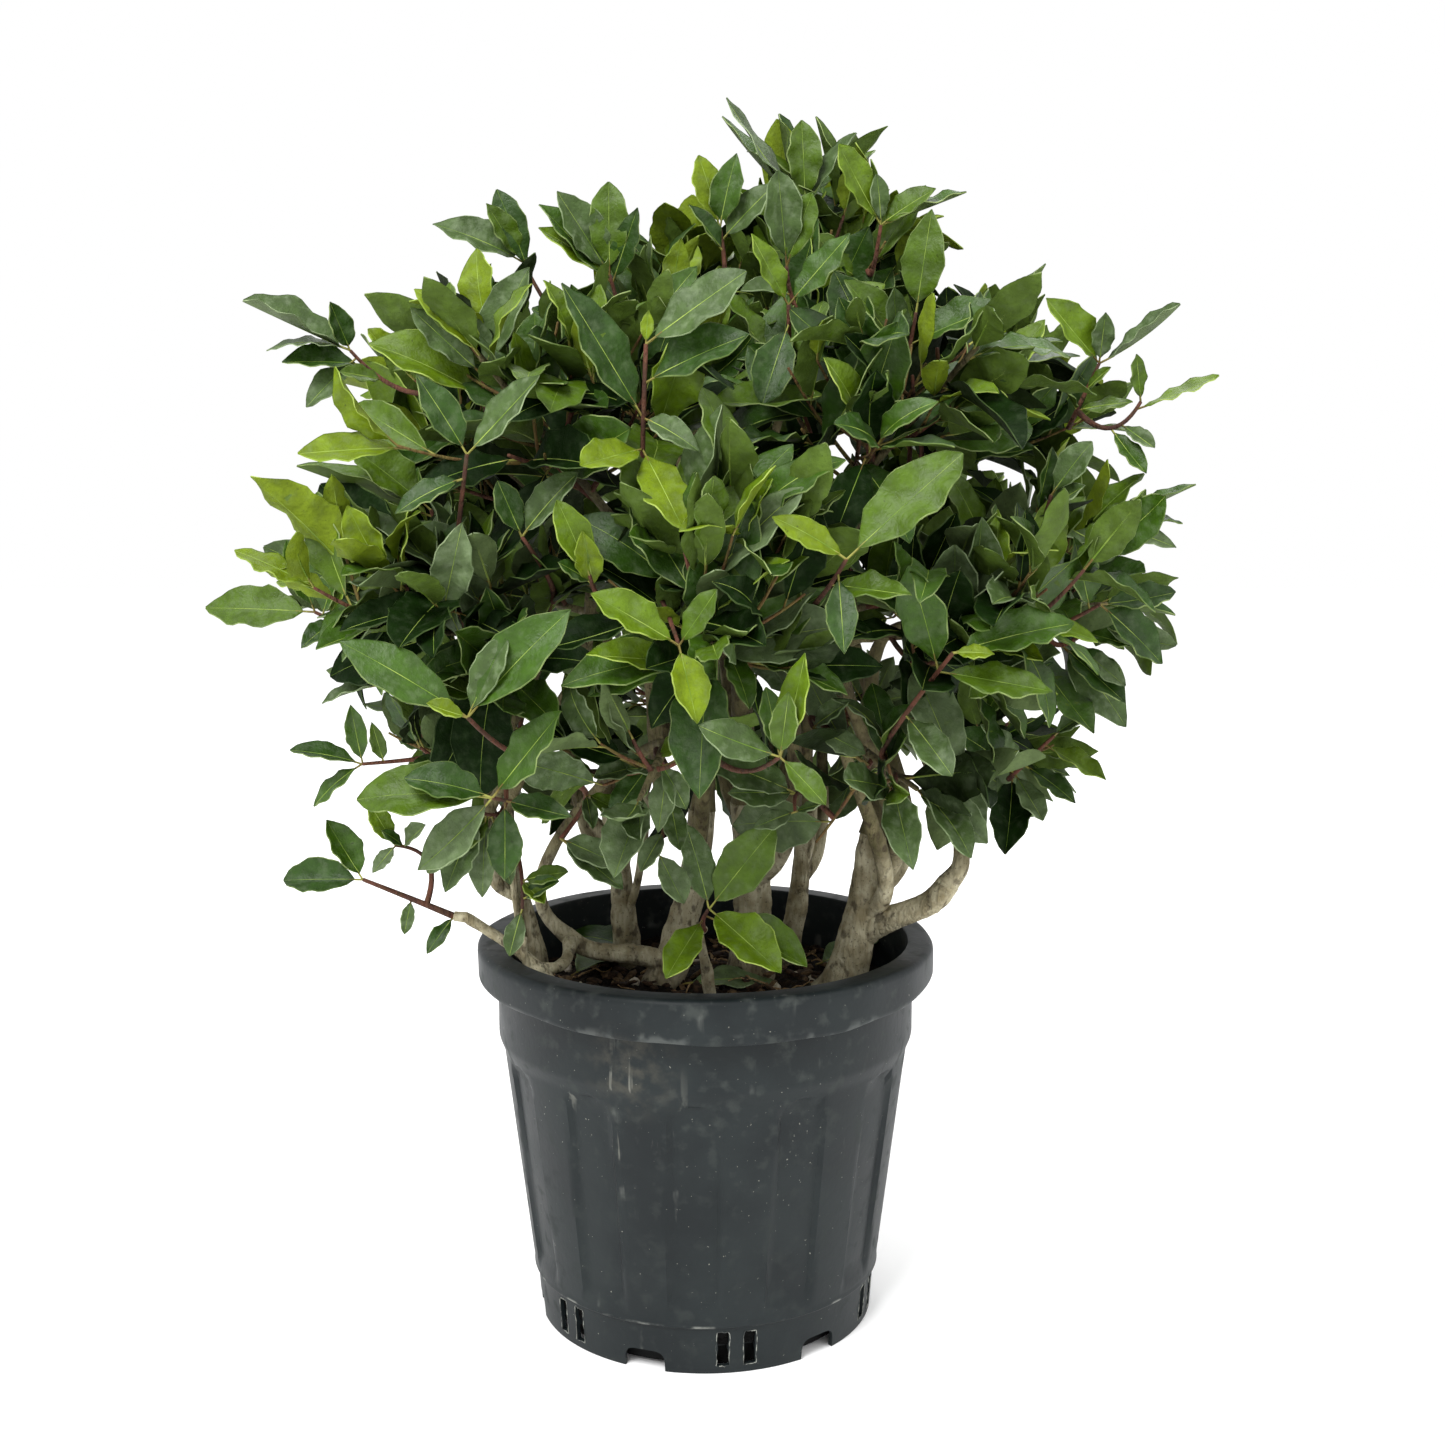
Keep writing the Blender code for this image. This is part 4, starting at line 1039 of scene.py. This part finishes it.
    # Earlier leaves go where they come within an elbow of a shown leaf or of an open stem's line of sight;
    # along the view, distances in front of them count as a small share of themselves
    def makeWay(self, first):
        early, late = self.leaves[:first], self.leaves[first:]
        ends = np.array([[row[0] + row[1] * row[3] * share for share in (0.5, 1.0)] for row in early])
        shown = np.array([row[0] + row[1] * row[3] * share for row in late for share in (0.3, 0.6, 0.9)])
        eye, opened = np.array(cameraSettings["place"]), np.array(growth["open"])
        shown = np.concatenate([shown, *(opened + unit(eye - opened) * step for step in growth["sight"])])
        view = unit(shown - eye)
        gap = ends[:, :, None] - shown
        depth = (gap * view).sum(-1, keepdims=True)
        gap = gap - view * depth * np.where(depth < 0, 1 - growth["hiding"], 0)
        near = np.linalg.norm(gap, axis=-1).min((1, 2)) < growth["elbow"]
        self.leaves = [row for row, close in zip(early, near) if not close] + late


flat = (0.0, -0.3, 1.0)  # the face of a leaf that lies flat
# Shoots of the front that stand out: knee and end of the curve, then for each leaf the point of the curve
# that it grows from, its tip, its kind and, where it isn't the usual one, its face
shownShoots = {
    "spray_left": ((-0.172, -0.044, 0.268), (-0.201, -0.048, 0.281), [
        (12, (-0.250, -0.045, 0.2815), "leaf", (0.0, -1.0, 0.7)),
        (12, (-0.223, -0.046, 0.316), "mid", (0.6, -0.8, 0.4)),
        (6, (-0.177, -0.052, 0.249), "dusty", (0.1, -1.0, 0.2)),
        (0, (-0.163, -0.060, 0.242), "leaf", (0.0, -1.0, 0.7)),
    ]),
    "spray_front": ((-0.003, -0.090, 0.266), (0.003, -0.098, 0.276), [
        (12, (-0.007, -0.105, 0.325), "dusty", (0.4, -1.0, 0.3)),
        (12, (0.038, -0.108, 0.325), "bright", (-0.2, -1.0, 0.3)),
        (12, (0.042, -0.140, 0.253), "fresh", (0.0, -0.8, 0.8)),
        (9, (0.058, -0.120, 0.252), "bright", (0.1, -0.6, 1.0)),
        (7, (-0.019, -0.138, 0.252), "fresh", (0.0, -0.9, 0.6)),
    ]),
    "left_middle": ((-0.095, -0.150, 0.361), (-0.111, -0.238, 0.405), [
        (12, (-0.168, -0.245, 0.446), "mid"), (12, (-0.065, -0.247, 0.460), "mid"),
        (12, (-0.092, -0.242, 0.445), "dusty"), (12, (-0.130, -0.247, 0.412), "lime"),
    ]),
    "left_low": ((-0.077, -0.120, 0.334), (-0.102, -0.222, 0.363), [
        (12, (-0.169, -0.232, 0.374), "bright"), (12, (-0.067, -0.236, 0.408), "mid"),
        (11, (-0.063, -0.222, 0.353), "leaf"), (11, (-0.098, -0.205, 0.319), "leaf"),
        (12, (-0.136, -0.210, 0.323), "grey"), (12, (-0.140, -0.236, 0.381), "leaf"),
    ]),
    "centre": ((-0.027, -0.150, 0.475), (-0.010, -0.243, 0.440), [
        (12, (-0.001, -0.256, 0.405), "lime"), (12, (-0.050, -0.250, 0.466), "fresh"),
        (12, (0.008, -0.250, 0.467), "bright"),
    ]),
    "centre_low": ((0.020, -0.120, 0.348), (0.038, -0.238, 0.386), [
        (12, (0.052, -0.240, 0.436), "fresh", (-0.7, -0.7, 0.2)), (12, (0.042, -0.246, 0.419), "bright"),
        (12, (0.032, -0.236, 0.420), "mid"), (12, (-0.003, -0.250, 0.401), "dusty"),
        (12, (0.060, -0.250, 0.366), "bright"),
    ]),
    "centre_high": ((-0.033, -0.170, 0.468), (-0.026, -0.212, 0.581), [
        (10, (-0.064, -0.222, 0.609), "leaf"), (12, (0.021, -0.222, 0.615), "dusty"),
        (11, (0.020, -0.225, 0.589), "leaf"), (9, (-0.056, -0.235, 0.525), "lime"),
        (9, (-0.008, -0.242, 0.497), "lime"), (12, (-0.025, -0.214, 0.597), "lime"),
        (10, (-0.001, -0.222, 0.536), "dusty"),
    ]),
    "left_high": ((-0.130, -0.160, 0.455), (-0.114, -0.200, 0.529), [
        (12, (-0.076, -0.212, 0.566), "dusty"), (12, (-0.135, -0.208, 0.568), "leaf"),
        (11, (-0.150, -0.210, 0.507), "leaf"),
    ]),
    "right_middle": ((0.086, -0.150, 0.369), (0.123, -0.212, 0.433), [
        (11, (0.172, -0.215, 0.415), "bright"), (11, (0.102, -0.215, 0.478), "mid", (-0.5, -0.8, 0.2)),
        (12, (0.186, -0.200, 0.452), "mid"), (12, (0.141, -0.222, 0.436), "lime"),
        (8, (0.124, -0.212, 0.375), "dusty"),
    ]),
    "far_left": ((-0.203, -0.030, 0.424), (-0.226, -0.040, 0.438), [
        (12, (-0.294, -0.032, 0.442), "bright", (0.1, -1.0, 0.5)), (12, (-0.240, -0.045, 0.480), "mid"),
        (11, (-0.210, -0.050, 0.463), "mid"), (10, (-0.200, -0.060, 0.469), "fresh"),
        (9, (-0.230, -0.060, 0.424), "leaf"),
    ]),
    "left_outer": ((-0.160, -0.040, 0.352), (-0.197, -0.060, 0.352), [
        (12, (-0.237, -0.064, 0.366), "leaf", (0.0, -0.5, 1.0)),
        (12, (-0.231, -0.064, 0.332), "mid", (0.0, -0.6, 0.8)), (12, (-0.201, -0.070, 0.387), "mid"),
        (10, (-0.190, -0.064, 0.376), "bright"),
    ]),
    "left_lower": ((-0.165, -0.050, 0.385), (-0.186, -0.060, 0.398), [
        (12, (-0.220, -0.064, 0.392), "dusty", (0.0, -0.4, 1.0)),
        (12, (-0.214, -0.066, 0.410), "grey", (0.0, -0.4, 1.0)),
    ]),
    "right_high": ((0.050, -0.170, 0.435), (0.069, -0.235, 0.480), [
        (12, (0.037, -0.245, 0.504), "lime"), (12, (0.123, -0.232, 0.531), "bright"),
        (11, (0.068, -0.245, 0.437), "leaf"), (10, (0.100, -0.240, 0.463), "bright"),
    ]),
    "top_centre": ((0.047, -0.120, 0.547), (0.044, -0.150, 0.604), [
        (12, (0.074, -0.158, 0.639), "mid"), (12, (0.024, -0.158, 0.638), "fresh"),
        (11, (0.030, -0.168, 0.556), "leaf"),
    ]),
    "far_right": ((0.184, -0.100, 0.428), (0.211, -0.130, 0.450), [
        (12, (0.252, -0.120, 0.452), "leaf"), (12, (0.250, -0.125, 0.419), "leaf"),
        (11, (0.195, -0.140, 0.486), "mid"),
    ]),
    "crest_left": ((-0.085, -0.030, 0.599), (-0.103, -0.030, 0.637), [
        (12, (-0.150, -0.042, 0.664), "dusty"), (12, (-0.122, -0.042, 0.668), "bright"),
        (11, (-0.114, -0.042, 0.677), "leaf"),
    ]),
    "crest_oval": ((-0.045, -0.050, 0.598), (-0.052, -0.060, 0.627), [
        (12, (-0.052, -0.072, 0.676), "bright"), (12, (-0.088, -0.072, 0.654), "fresh"),
        (11, (-0.088, -0.072, 0.665), "mid"), (12, (-0.079, -0.072, 0.671), "dusty"),
        (11, (-0.036, -0.072, 0.662), "leaf"),
    ]),
    "left_upper": ((-0.185, -0.010, 0.563), (-0.205, -0.020, 0.588), [
        (12, (-0.264, -0.032, 0.614), "dusty", (0.0, -0.5, 1.0)), (12, (-0.214, -0.032, 0.615), "leaf"),
        (12, (-0.249, -0.032, 0.606), "dusty", flat), (10, (-0.242, -0.032, 0.584), "leaf"),
        (11, (-0.231, -0.032, 0.558), "dusty"), (7, (-0.209, -0.032, 0.576), "bright"),
    ]),
    "left_red": ((-0.116, -0.100, 0.531), (-0.116, -0.120, 0.570), [
        (10, (-0.169, -0.132, 0.595), "fresh"), (12, (-0.095, -0.132, 0.627), "dusty"),
        (12, (-0.151, -0.132, 0.604), "dusty"),
    ]),
    "left_wide": ((-0.141, -0.080, 0.471), (-0.148, -0.100, 0.499), [
        (12, (-0.187, -0.112, 0.535), "bright"), (11, (-0.217, -0.112, 0.524), "bright", flat),
    ]),
    "left_inner": ((-0.073, -0.160, 0.460), (-0.090, -0.180, 0.488), [
        (12, (-0.065, -0.192, 0.522), "dusty"), (12, (-0.100, -0.192, 0.516), "leaf"),
    ]),
    "small_lime": ((-0.051, -0.180, 0.446), (-0.055, -0.200, 0.470), [
        (12, (-0.067, -0.212, 0.507), "fresh"), (10, (-0.056, -0.212, 0.490), "lime"),
        (11, (-0.068, -0.212, 0.478), "leaf"),
    ]),
    "top_leaf": ((0.056, -0.030, 0.638), (0.057, -0.040, 0.666), [
        (12, (0.055, -0.052, 0.712), "bright"), (12, (0.006, -0.052, 0.718), "dusty", (0.8, -0.2, 0.6)),
        (12, (0.084, -0.052, 0.705), "dusty", (-0.6, -0.5, 0.5)),
    ]),
    "top_right": ((0.094, -0.050, 0.620), (0.098, -0.060, 0.654), [
        (12, (0.125, -0.072, 0.674), "bright"), (12, (0.144, -0.072, 0.669), "mid", flat),
        (12, (0.096, -0.072, 0.679), "dusty"), (12, (0.072, -0.072, 0.695), "fresh"),
    ]),
    "top_lime": ((0.017, -0.080, 0.612), (0.009, -0.080, 0.650), [
        (12, (0.000, -0.092, 0.687), "lime"), (12, (0.016, -0.092, 0.688), "mid"),
        (11, (0.038, -0.092, 0.674), "dusty"), (10, (-0.007, -0.092, 0.661), "leaf"),
    ]),
    "top_front": ((0.047, -0.100, 0.595), (0.044, -0.120, 0.626), [
        (12, (0.039, -0.132, 0.673), "dusty"), (12, (0.056, -0.132, 0.662), "bright"),
        (9, (0.021, -0.132, 0.615), "dusty"),
    ]),
    "top_side": ((0.108, -0.100, 0.566), (0.113, -0.110, 0.603), [
        (12, (0.119, -0.122, 0.655), "bright"), (6, (0.096, -0.122, 0.617), "dusty"),
        (9, (0.154, -0.122, 0.609), "mid"), (7, (0.079, -0.122, 0.621), "bright"),
    ]),
    "right_upper": ((0.209, -0.040, 0.545), (0.225, -0.040, 0.580), [
        (12, (0.191, -0.052, 0.615), "fresh"), (12, (0.225, -0.052, 0.608), "dusty"),
        (12, (0.273, -0.052, 0.603), "dusty", flat), (9, (0.227, -0.052, 0.578), "bright"),
        (6, (0.241, -0.052, 0.560), "bright"), (6, (0.203, -0.052, 0.567), "bright"),
    ]),
    "right_outer": ((0.232, -0.050, 0.531), (0.247, -0.050, 0.558), [
        (12, (0.241, -0.062, 0.584), "bright"), (11, (0.289, -0.062, 0.569), "fresh", flat),
        (6, (0.248, -0.062, 0.516), "mid"), (8, (0.253, -0.062, 0.532), "dusty"),
    ]),
    "right_edge": ((0.218, -0.040, 0.468), (0.237, -0.050, 0.491), [
        (12, (0.277, -0.062, 0.512), "mid", flat), (12, (0.270, -0.062, 0.497), "leaf", flat),
        (11, (0.268, -0.062, 0.480), "grey"), (8, (0.192, -0.062, 0.493), "dusty"),
    ]),
    "right_grey": ((0.176, -0.130, 0.481), (0.180, -0.150, 0.508), [
        (12, (0.196, -0.162, 0.536), "dusty"), (10, (0.194, -0.162, 0.514), "dusty"),
    ]),
    "right_fan": ((0.202, -0.060, 0.409), (0.226, -0.070, 0.441), [
        (12, (0.263, -0.082, 0.446), "leaf", flat), (11, (0.251, -0.082, 0.433), "leaf"),
        (11, (0.263, -0.082, 0.414), "grey"), (9, (0.238, -0.082, 0.426), "mid"),
        (7, (0.237, -0.082, 0.401), "grey"), (5, (0.244, -0.082, 0.381), "dusty"),
        (5, (0.237, -0.082, 0.391), "leaf"),
    ]),
    "right_low": ((0.173, -0.030, 0.331), (0.203, -0.050, 0.367), [
        (11, (0.231, -0.062, 0.342), "fresh", flat), (8, (0.216, -0.062, 0.334), "leaf", flat),
        (6, (0.196, -0.062, 0.321), "grey"), (7, (0.165, -0.062, 0.376), "dusty"),
        (6, (0.150, -0.062, 0.374), "leaf"), (12, (0.219, -0.062, 0.385), "dusty"),
    ]),
    "low_left": ((-0.106, -0.050, 0.311), (-0.128, -0.080, 0.328), [
        (12, (-0.156, -0.092, 0.295), "grey"), (12, (-0.148, -0.092, 0.284), "dusty"),
        (10, (-0.140, -0.092, 0.308), "bright"), (11, (-0.126, -0.092, 0.281), "grey"),
        (10, (-0.109, -0.092, 0.288), "dusty"),
    ]),
    "rim_left": ((-0.101, -0.080, 0.306), (-0.103, -0.090, 0.274), [
        (12, (-0.110, -0.102, 0.250), "dusty"), (9, (-0.078, -0.102, 0.300), "bright"),
        (11, (-0.081, -0.102, 0.293), "leaf"), (9, (-0.089, -0.102, 0.279), "fresh"),
    ]),
    "low_small": ((-0.155, -0.030, 0.295), (-0.181, -0.050, 0.302), [
        (12, (-0.194, -0.062, 0.330), "fresh"), (12, (-0.193, -0.062, 0.289), "grey"),
        (11, (-0.162, -0.062, 0.317), "grey"), (11, (-0.184, -0.062, 0.314), "leaf"),
    ]),
    "low_centre": ((-0.058, -0.080, 0.340), (-0.079, -0.110, 0.319), [
        (12, (-0.043, -0.122, 0.306), "grey"), (12, (-0.044, -0.122, 0.293), "dusty"),
        (4, (-0.060, -0.122, 0.325), "dusty"), (4, (-0.037, -0.122, 0.332), "bright"),
    ]),
    "low_front": ((-0.029, -0.100, 0.375), (-0.019, -0.130, 0.363), [
        (1, (-0.005, -0.142, 0.383), "fresh"), (12, (-0.024, -0.142, 0.329), "grey"),
        (12, (-0.041, -0.142, 0.363), "dusty"), (0, (-0.007, -0.142, 0.343), "dusty"),
        (0, (-0.058, -0.142, 0.359), "dusty"), (1, (-0.054, -0.142, 0.335), "leaf"),
    ]),
    "low_hanging": ((-0.013, -0.080, 0.340), (-0.026, -0.100, 0.310), [
        (12, (-0.011, -0.112, 0.282), "grey"), (10, (-0.035, -0.112, 0.302), "grey"),
        (6, (-0.013, -0.112, 0.312), "dusty"),
    ]),
    "low_right": ((0.048, -0.080, 0.352), (0.051, -0.100, 0.332), [
        (12, (0.028, -0.112, 0.327), "grey"), (12, (0.065, -0.112, 0.339), "dusty"),
        (8, (0.015, -0.112, 0.347), "dusty"), (8, (-0.002, -0.112, 0.371), "dusty"),
    ]),
    "grey_specked": ((0.052, -0.120, 0.397), (0.058, -0.150, 0.387), [
        (12, (0.085, -0.162, 0.376), "grey"), (12, (0.076, -0.162, 0.403), "dusty"),
    ]),
}


fallenLeaves = [  # root, tip and kind of the leaves that lie on the soil
    ((-0.084, 0.006, 0.207), (-0.052, 0.070, 0.213), "grey"),
    ((-0.014, -0.006, 0.205), (0.046, 0.018, 0.210), "grey"),
    ((0.070, 0.034, 0.206), (0.116, 0.070, 0.213), "dusty"),
    ((-0.100, -0.040, 0.206), (-0.060, -0.074, 0.208), "dusty"),
    ((-0.040, 0.060, 0.207), (-0.092, 0.078, 0.224), "leaf"),
]


def makeFoliage():  # the masses grown on from their boughs, then the shown shoots and the fallen leaves
    foliage = Foliage(list(paths.values()))
    plan = crownPlan()
    middles = np.array([heart + (row[0] - heart) * growth["coreShare"] for row in plan.values()])
    for index, (name, (tip, lobe, reach, _, _, _)) in enumerate(plan.items()):
        space = Space(index, middles, lobes[lobe], reach, growth["trims"].get(name, 1.0))
        draw = np.random.default_rng(growth["seed"] + index)
        foliage.grow(space, paths["bough_" + name][0][-1], tip, limbSettings["bough"][1], draw)
    first = len(foliage.leaves)
    for name, (knee, end, leaves) in shownShoots.items():
        if name in sprays:
            path, radii = paths[sprays[name][0]]
            foliage.show(path[-1], knee, end, radii[-1] * 0.8, leaves)
        else:
            foliage.show(foliage.nearestShoot(knee), knee, end, growth["shownThick"], leaves)
    for root, tip, kind in fallenLeaves:
        foliage.place(root, tip, kind, flat)
    foliage.makeWay(first)
    return foliage


foliage = makeFoliage()
print(len(foliage.shoots), "shoots", len(foliage.leaves), "leaves")


# Leaves as arrays: one grid for all of a kind

leafSettings = {
    "rows": 14,
    "across": (-1, -0.6, 0, 0.6, 1),
    "thickness": 0.00028,
    "margin": 0.00024,
    "rib": 0.00050,
    "petiole": 0.10,  # share of the length
    "base": (0.70, 0.98),  # powers of the outline at the foot and at the tip
    "tip": (0.70, 1.02),
    "scallops": (2.8, 4.4),  # waves along the margin, and their depth in the outline
    "ripple": 0.05,
    "crinkle": 0.022,
    "wave": (0.012, 0.036),  # height of the margin's waves as a share of the length
    "bulge": 0.0006,
    "bend": (0.30, 0.50),  # mean and spread, radians
    "twist": 0.35,
    "fold": (0.08, 0.75),
    "calm": 0.45,  # how much of their bend and twist shown leaves have
}
leafKinds = {  # share of the leaves, youngest and outermost first, then colour, roughness, gloss and back
    "lime": (0.04, (96, 116, 9), 0.44, 0.18, "young"),
    "fresh": (0.08, (80, 104, 8), 0.42, 0.22, "young"),
    "bright": (0.16, (64, 88, 8), 0.40, 0.24, "green"),
    "mid": (0.20, (49, 77, 10), 0.39, 0.25, "green"),
    "leaf": (0.18, (36, 62, 10), 0.40, 0.24, "green"),
    # Painted shade: the near-black deep kind goes to the inner leaves of the crown; it is partly the real
    # colour of old leaves.
    "deep": (0.19, (13, 30, 4), 0.50, 0.05, "deep"),
    "dusty": (0.10, (60, 80, 36), 0.48, 0.26, "dull"),
    "grey": (0.05, (78, 95, 58), 0.54, 0.24, "dull"),
}
leafBacks = {  # dust on the leaf, colour of its underside, and the two colours of its edge
    "young": (0.16, (104, 122, 26), (118, 142, 46), (166, 184, 92)),
    "green": (0.16, (72, 92, 32), (84, 106, 46), (140, 156, 98)),
    # The deep row darkens the undersides and edges of the inner leaves: painted shade, partly the real colour
    # of old leaves.
    "deep": (0.06, (26, 38, 12), (40, 58, 22), (72, 92, 44)),
    "dull": (0.40, (84, 100, 60), (96, 114, 74), (148, 164, 124)),
}


# Each leaf bends along its length as an arc, folds up at the rib as |v| and waves at its edge as a sine;
# its half width is u^a (1 - u)^b, widest at a / (a + b), with a crinkled edge
def leafShape(rows, u, v, draw, s):
    root, way, face, length = (np.array([row[k] for row in rows]) for k in range(4))
    across = np.cross(face, way)
    size = length[:, None, None]
    a, b = draw.uniform(*s["base"], size.shape), draw.uniform(*s["tip"], size.shape)
    peak = a / (a + b)
    half = draw.uniform(*growth["leafWidth"], size.shape) / 2 * size
    scallops = draw.uniform(*s["scallops"], size.shape)
    phase = draw.uniform(0, math.tau, size.shape) + np.sign(v) * draw.uniform(0.3, 2.0, size.shape)
    ripple = np.sin(scallops * math.tau * u + phase)
    crinkle = draw.normal(0, s["crinkle"], (len(rows), u.shape[1], 2))[..., [0, 0, 0, 1, 1]]
    wide = half * (u**a * (1 - u) ** b) / (peak**a * (1 - peak) ** b) * (1 + s["ripple"] * ripple + crinkle)
    calm = np.array([1.0 if row[7] is None else s["calm"] for row in rows])[:, None, None]
    bend = draw.normal(*s["bend"], size.shape) * calm + 0.001
    fold = draw.uniform(*s["fold"], size.shape)
    wave = draw.uniform(*s["wave"], size.shape) * size * np.sin(math.pi * u) ** 0.5
    wave = wave * np.sin(0.8 * scallops * math.tau * u + phase)
    twist = draw.normal(0, s["twist"], size.shape) * calm * u
    run = s["petiole"] + (1 - s["petiole"]) * u
    ahead = size * np.sin(bend * run) / bend
    lift = fold * np.abs(v) * wide + wave * np.where(wave > 0, np.abs(v), v**2)
    lift = lift + s["bulge"] * np.sin(math.pi * np.abs(v))
    aside = wide * v * np.cos(twist) - lift * np.sin(twist)
    rise = wide * v * np.sin(twist) + lift * np.cos(twist) - size * (1 - np.cos(bend * run)) / bend
    lead, cross, out = (side[:, None, None] for side in (way, across, face))
    return root[:, None, None] + lead * ahead[..., None] + cross * aside[..., None] + out * rise[..., None]


def normalsOf(points):  # unit normals of grids of points, from the slopes along both of their ways
    return unit(np.cross(np.gradient(points, axis=-3), np.gradient(points, axis=-2)) + 1e-12)


def dealKinds(leaves):  # dull kinds to low leaves, young ones to the ends of high and outer shoots, and the darkest to inner leaves as painted shade
    roots = np.array([row[0] for row in leaves])
    order, age, chance = (np.array([row[k] for row in leaves]) for k in (4, 5, 6))
    outer = np.linalg.norm(roots - heart, axis=1) / lobes["skirt"][1][0]
    # Rank by age and by how high and far out a leaf is: the inner leaves get the darkest kinds, which paints
    # the shade inside the crown.
    youthAndLight = 0.50 * age + 0.30 * (roots[:, 2] - 0.25) / 0.45 + 0.45 * outer - 0.09 * order + 0.20 * chance
    dull = 0.9 * (heart[2] - roots[:, 2]) / 0.2 + 1.1 * (chance * 7.3 % 1) + 0.3 * outer
    dullShare = leafKinds["dusty"][0] + leafKinds["grey"][0]
    youthAndLight = youthAndLight - 10 * (dull > np.quantile(dull, 1 - dullShare))
    rank = np.argsort(np.argsort(-youthAndLight)) / len(leaves)
    kinds = {}
    first = 0.0
    for kind, (share, *_) in leafKinds.items():
        picked = (rank >= first) & (rank < first + share)
        kinds[kind] = [row for row, own in zip(leaves, picked) if (own if row[7] is None else row[7] == kind)]
        first += share
    return kinds


def leafPieces(foliage, s):  # tops, undersides and edges kind by kind, then all ribs and petioles
    across = s["across"]
    u, v = np.linspace(0.004, 0.996, s["rows"] + 1)[None, :, None], np.array(across)[None, None, :]
    middle = len(across) // 2
    tops, unders, edges, ribs, petioles = {}, {}, {}, Heap(), Heap()
    for number, (kind, group) in enumerate(dealKinds(foliage.leaves).items()):
        back = leafKinds[kind][4]
        sheets = leafShape(group, u, v, np.random.default_rng(900 + number), s)
        normals = normalsOf(sheets)
        tops[kind] = Heap()
        tops[kind].putSheets(sheets, flipped=True)
        unders.setdefault(back, Heap()).putSheets((sheets - normals * s["thickness"])[:, :, ::2])
        for side in (0, len(across) - 1):
            edges.setdefault(back, Heap()).putSheets(edgeStrips(sheets, normals, side, s), side > 0)
        ribTubes(ribs, petioles, sheets[:, :, middle], normals[:, :, middle], group)
    return tops, unders, edges, ribs, petioles


# Three-sided tubes round rows of points: along the leaves' middles, thinner and thinner, and from the
# shoots to the blades
def ribTubes(ribs, petioles, spine, normals, group):
    root = np.array([row[0] for row in group])[:, None]
    for heap, path, guide, radii in (
        (ribs, spine[:, ::2], normals[:, ::2], (1.15, 0.35)),
        (petioles, np.concatenate([root, spine[:, :2]], 1), normals[:, :1], (1.5, 1.2)),
    ):
        steps = path.shape[1]
        heading = unit(np.gradient(path, axis=1))
        side = unit(guide - heading * (guide * heading).sum(-1, keepdims=True))
        cross = np.cross(heading, side)
        radius = leafSettings["rib"] * np.linspace(*radii, steps)[None, :, None, None]
        turn = np.arange(3) * math.tau / 3
        ring = np.cos(turn)[:, None] * side[:, :, None] + np.sin(turn)[:, None] * cross[:, :, None]
        heap.put(path[:, :, None] + radius * ring, repeated(gridFaces(steps, 3, True), len(group), steps * 3))


def edgeStrips(sheets, normals, side, s):  # a pale lip from just in from the leaf's edge to its underside
    edge, inner = sheets[:, :, side], sheets[:, :, abs(side - 1)]
    inward = unit(inner - edge + 1e-9) * s["margin"]
    out = normals[:, :, side]
    return np.stack([edge + inward * 1.5 + out * 0.00016, edge - inward * 0.5 - out * s["thickness"]], axis=2)


def leafFinish(name, colour, rough, gloss, dusty):  # a satin leaf: mottle, fine grain, dust and dark specks
    finish = Finish(name, gloss=gloss)
    base = np.array(shade(*colour)[:3])
    mottle = finish.noise(110, 5).between(0.30, 0.70)
    grain = finish.noise(520, 4).between(0.36, 0.70)
    dust = finish.noise(190, 5).between(0.46, 0.74)
    speck = finish.noise(560, 2).between(0.69, 0.75)
    mixed = finish.mix(mottle, (*(base * 0.78).tolist(), 1), (*(base * 1.22).tolist(), 1))
    mixed = finish.mix(grain * 0.26, mixed, (*(base * 0.60).tolist(), 1))
    mixed = finish.mix(dust * dusty, mixed, shade(120, 134, 104))
    mixed = finish.mix(speck * 0.50, mixed, shade(30, 32, 16))
    relief = mottle * 0.5 + grain * 0.35 + finish.noise(1300, 2) * 0.2
    return finish.give(mixed, rough + mottle * 0.08 + dust * 0.12, relief, 0.45, 0.0008)


tops, unders, edges, ribs, petioles = leafPieces(foliage, leafSettings)
masses = ["foliage_" + name for name in [*crownPlan(), *sprays]]
for kind, heap in tops.items():
    _, colour, rough, gloss, back = leafKinds[kind]
    finish = leafFinish(kind + "_leaf", colour, rough, gloss, leafBacks[back][0])
    heap.join("leaves_" + kind, finish, "foliage", *(masses if kind == "mid" else ()))
for back, heap in unders.items():
    finish = leafFinish(back + "_underside", leafBacks[back][1], 0.58, 0.1, 0.1)
    heap.join("undersides_" + back, finish, "foliage")
for back, (_, _, first, second) in leafBacks.items():
    edges[back].join("edges_" + back, plainFinish(back + "_edge", first, second), "foliage")
ribs.join("leaf_ribs", plainFinish("leaf_rib", (92, 120, 36), (146, 166, 78)), "foliage")
petioles.join("petioles", plainFinish("petiole", (100, 84, 42), (142, 142, 70)), "foliage")


# Twigs: red-brown where they are young

twigKinds = (
    ("shoots", youngBark),
    ("twigs", barkFinish("red_twig", ((98, 58, 46), (66, 42, 36), (84, 66, 42)))),
    ("twiglets", barkFinish("green_twig", ((98, 92, 44), (84, 58, 36), (110, 78, 50)))),
)
for level, (name, finish) in enumerate(twigKinds):
    heap = Heap()
    for path, thick, own in foliage.shoots:
        if own == level:
            tube(heap, path, np.linspace(thick, max(0.0007, thick * 0.55), len(path)), 6)
    heap.join(name, finish, "young_bark")


# Floor

floorMesh = bpy.data.meshes.new("floor")
floorMesh.from_pydata([(-6, -6, 0), (6, -6, 0), (6, 6, 0), (-6, 6, 0)], [], [(0, 1, 2, 3)])
floorMesh.materials.append(Finish("white_floor", colour=(1, 1, 1, 1), rough=0.9, gloss=0.0).material)
floor = bpy.data.objects.new("floor", floorMesh)
bpy.context.scene.collection.objects.link(floor)
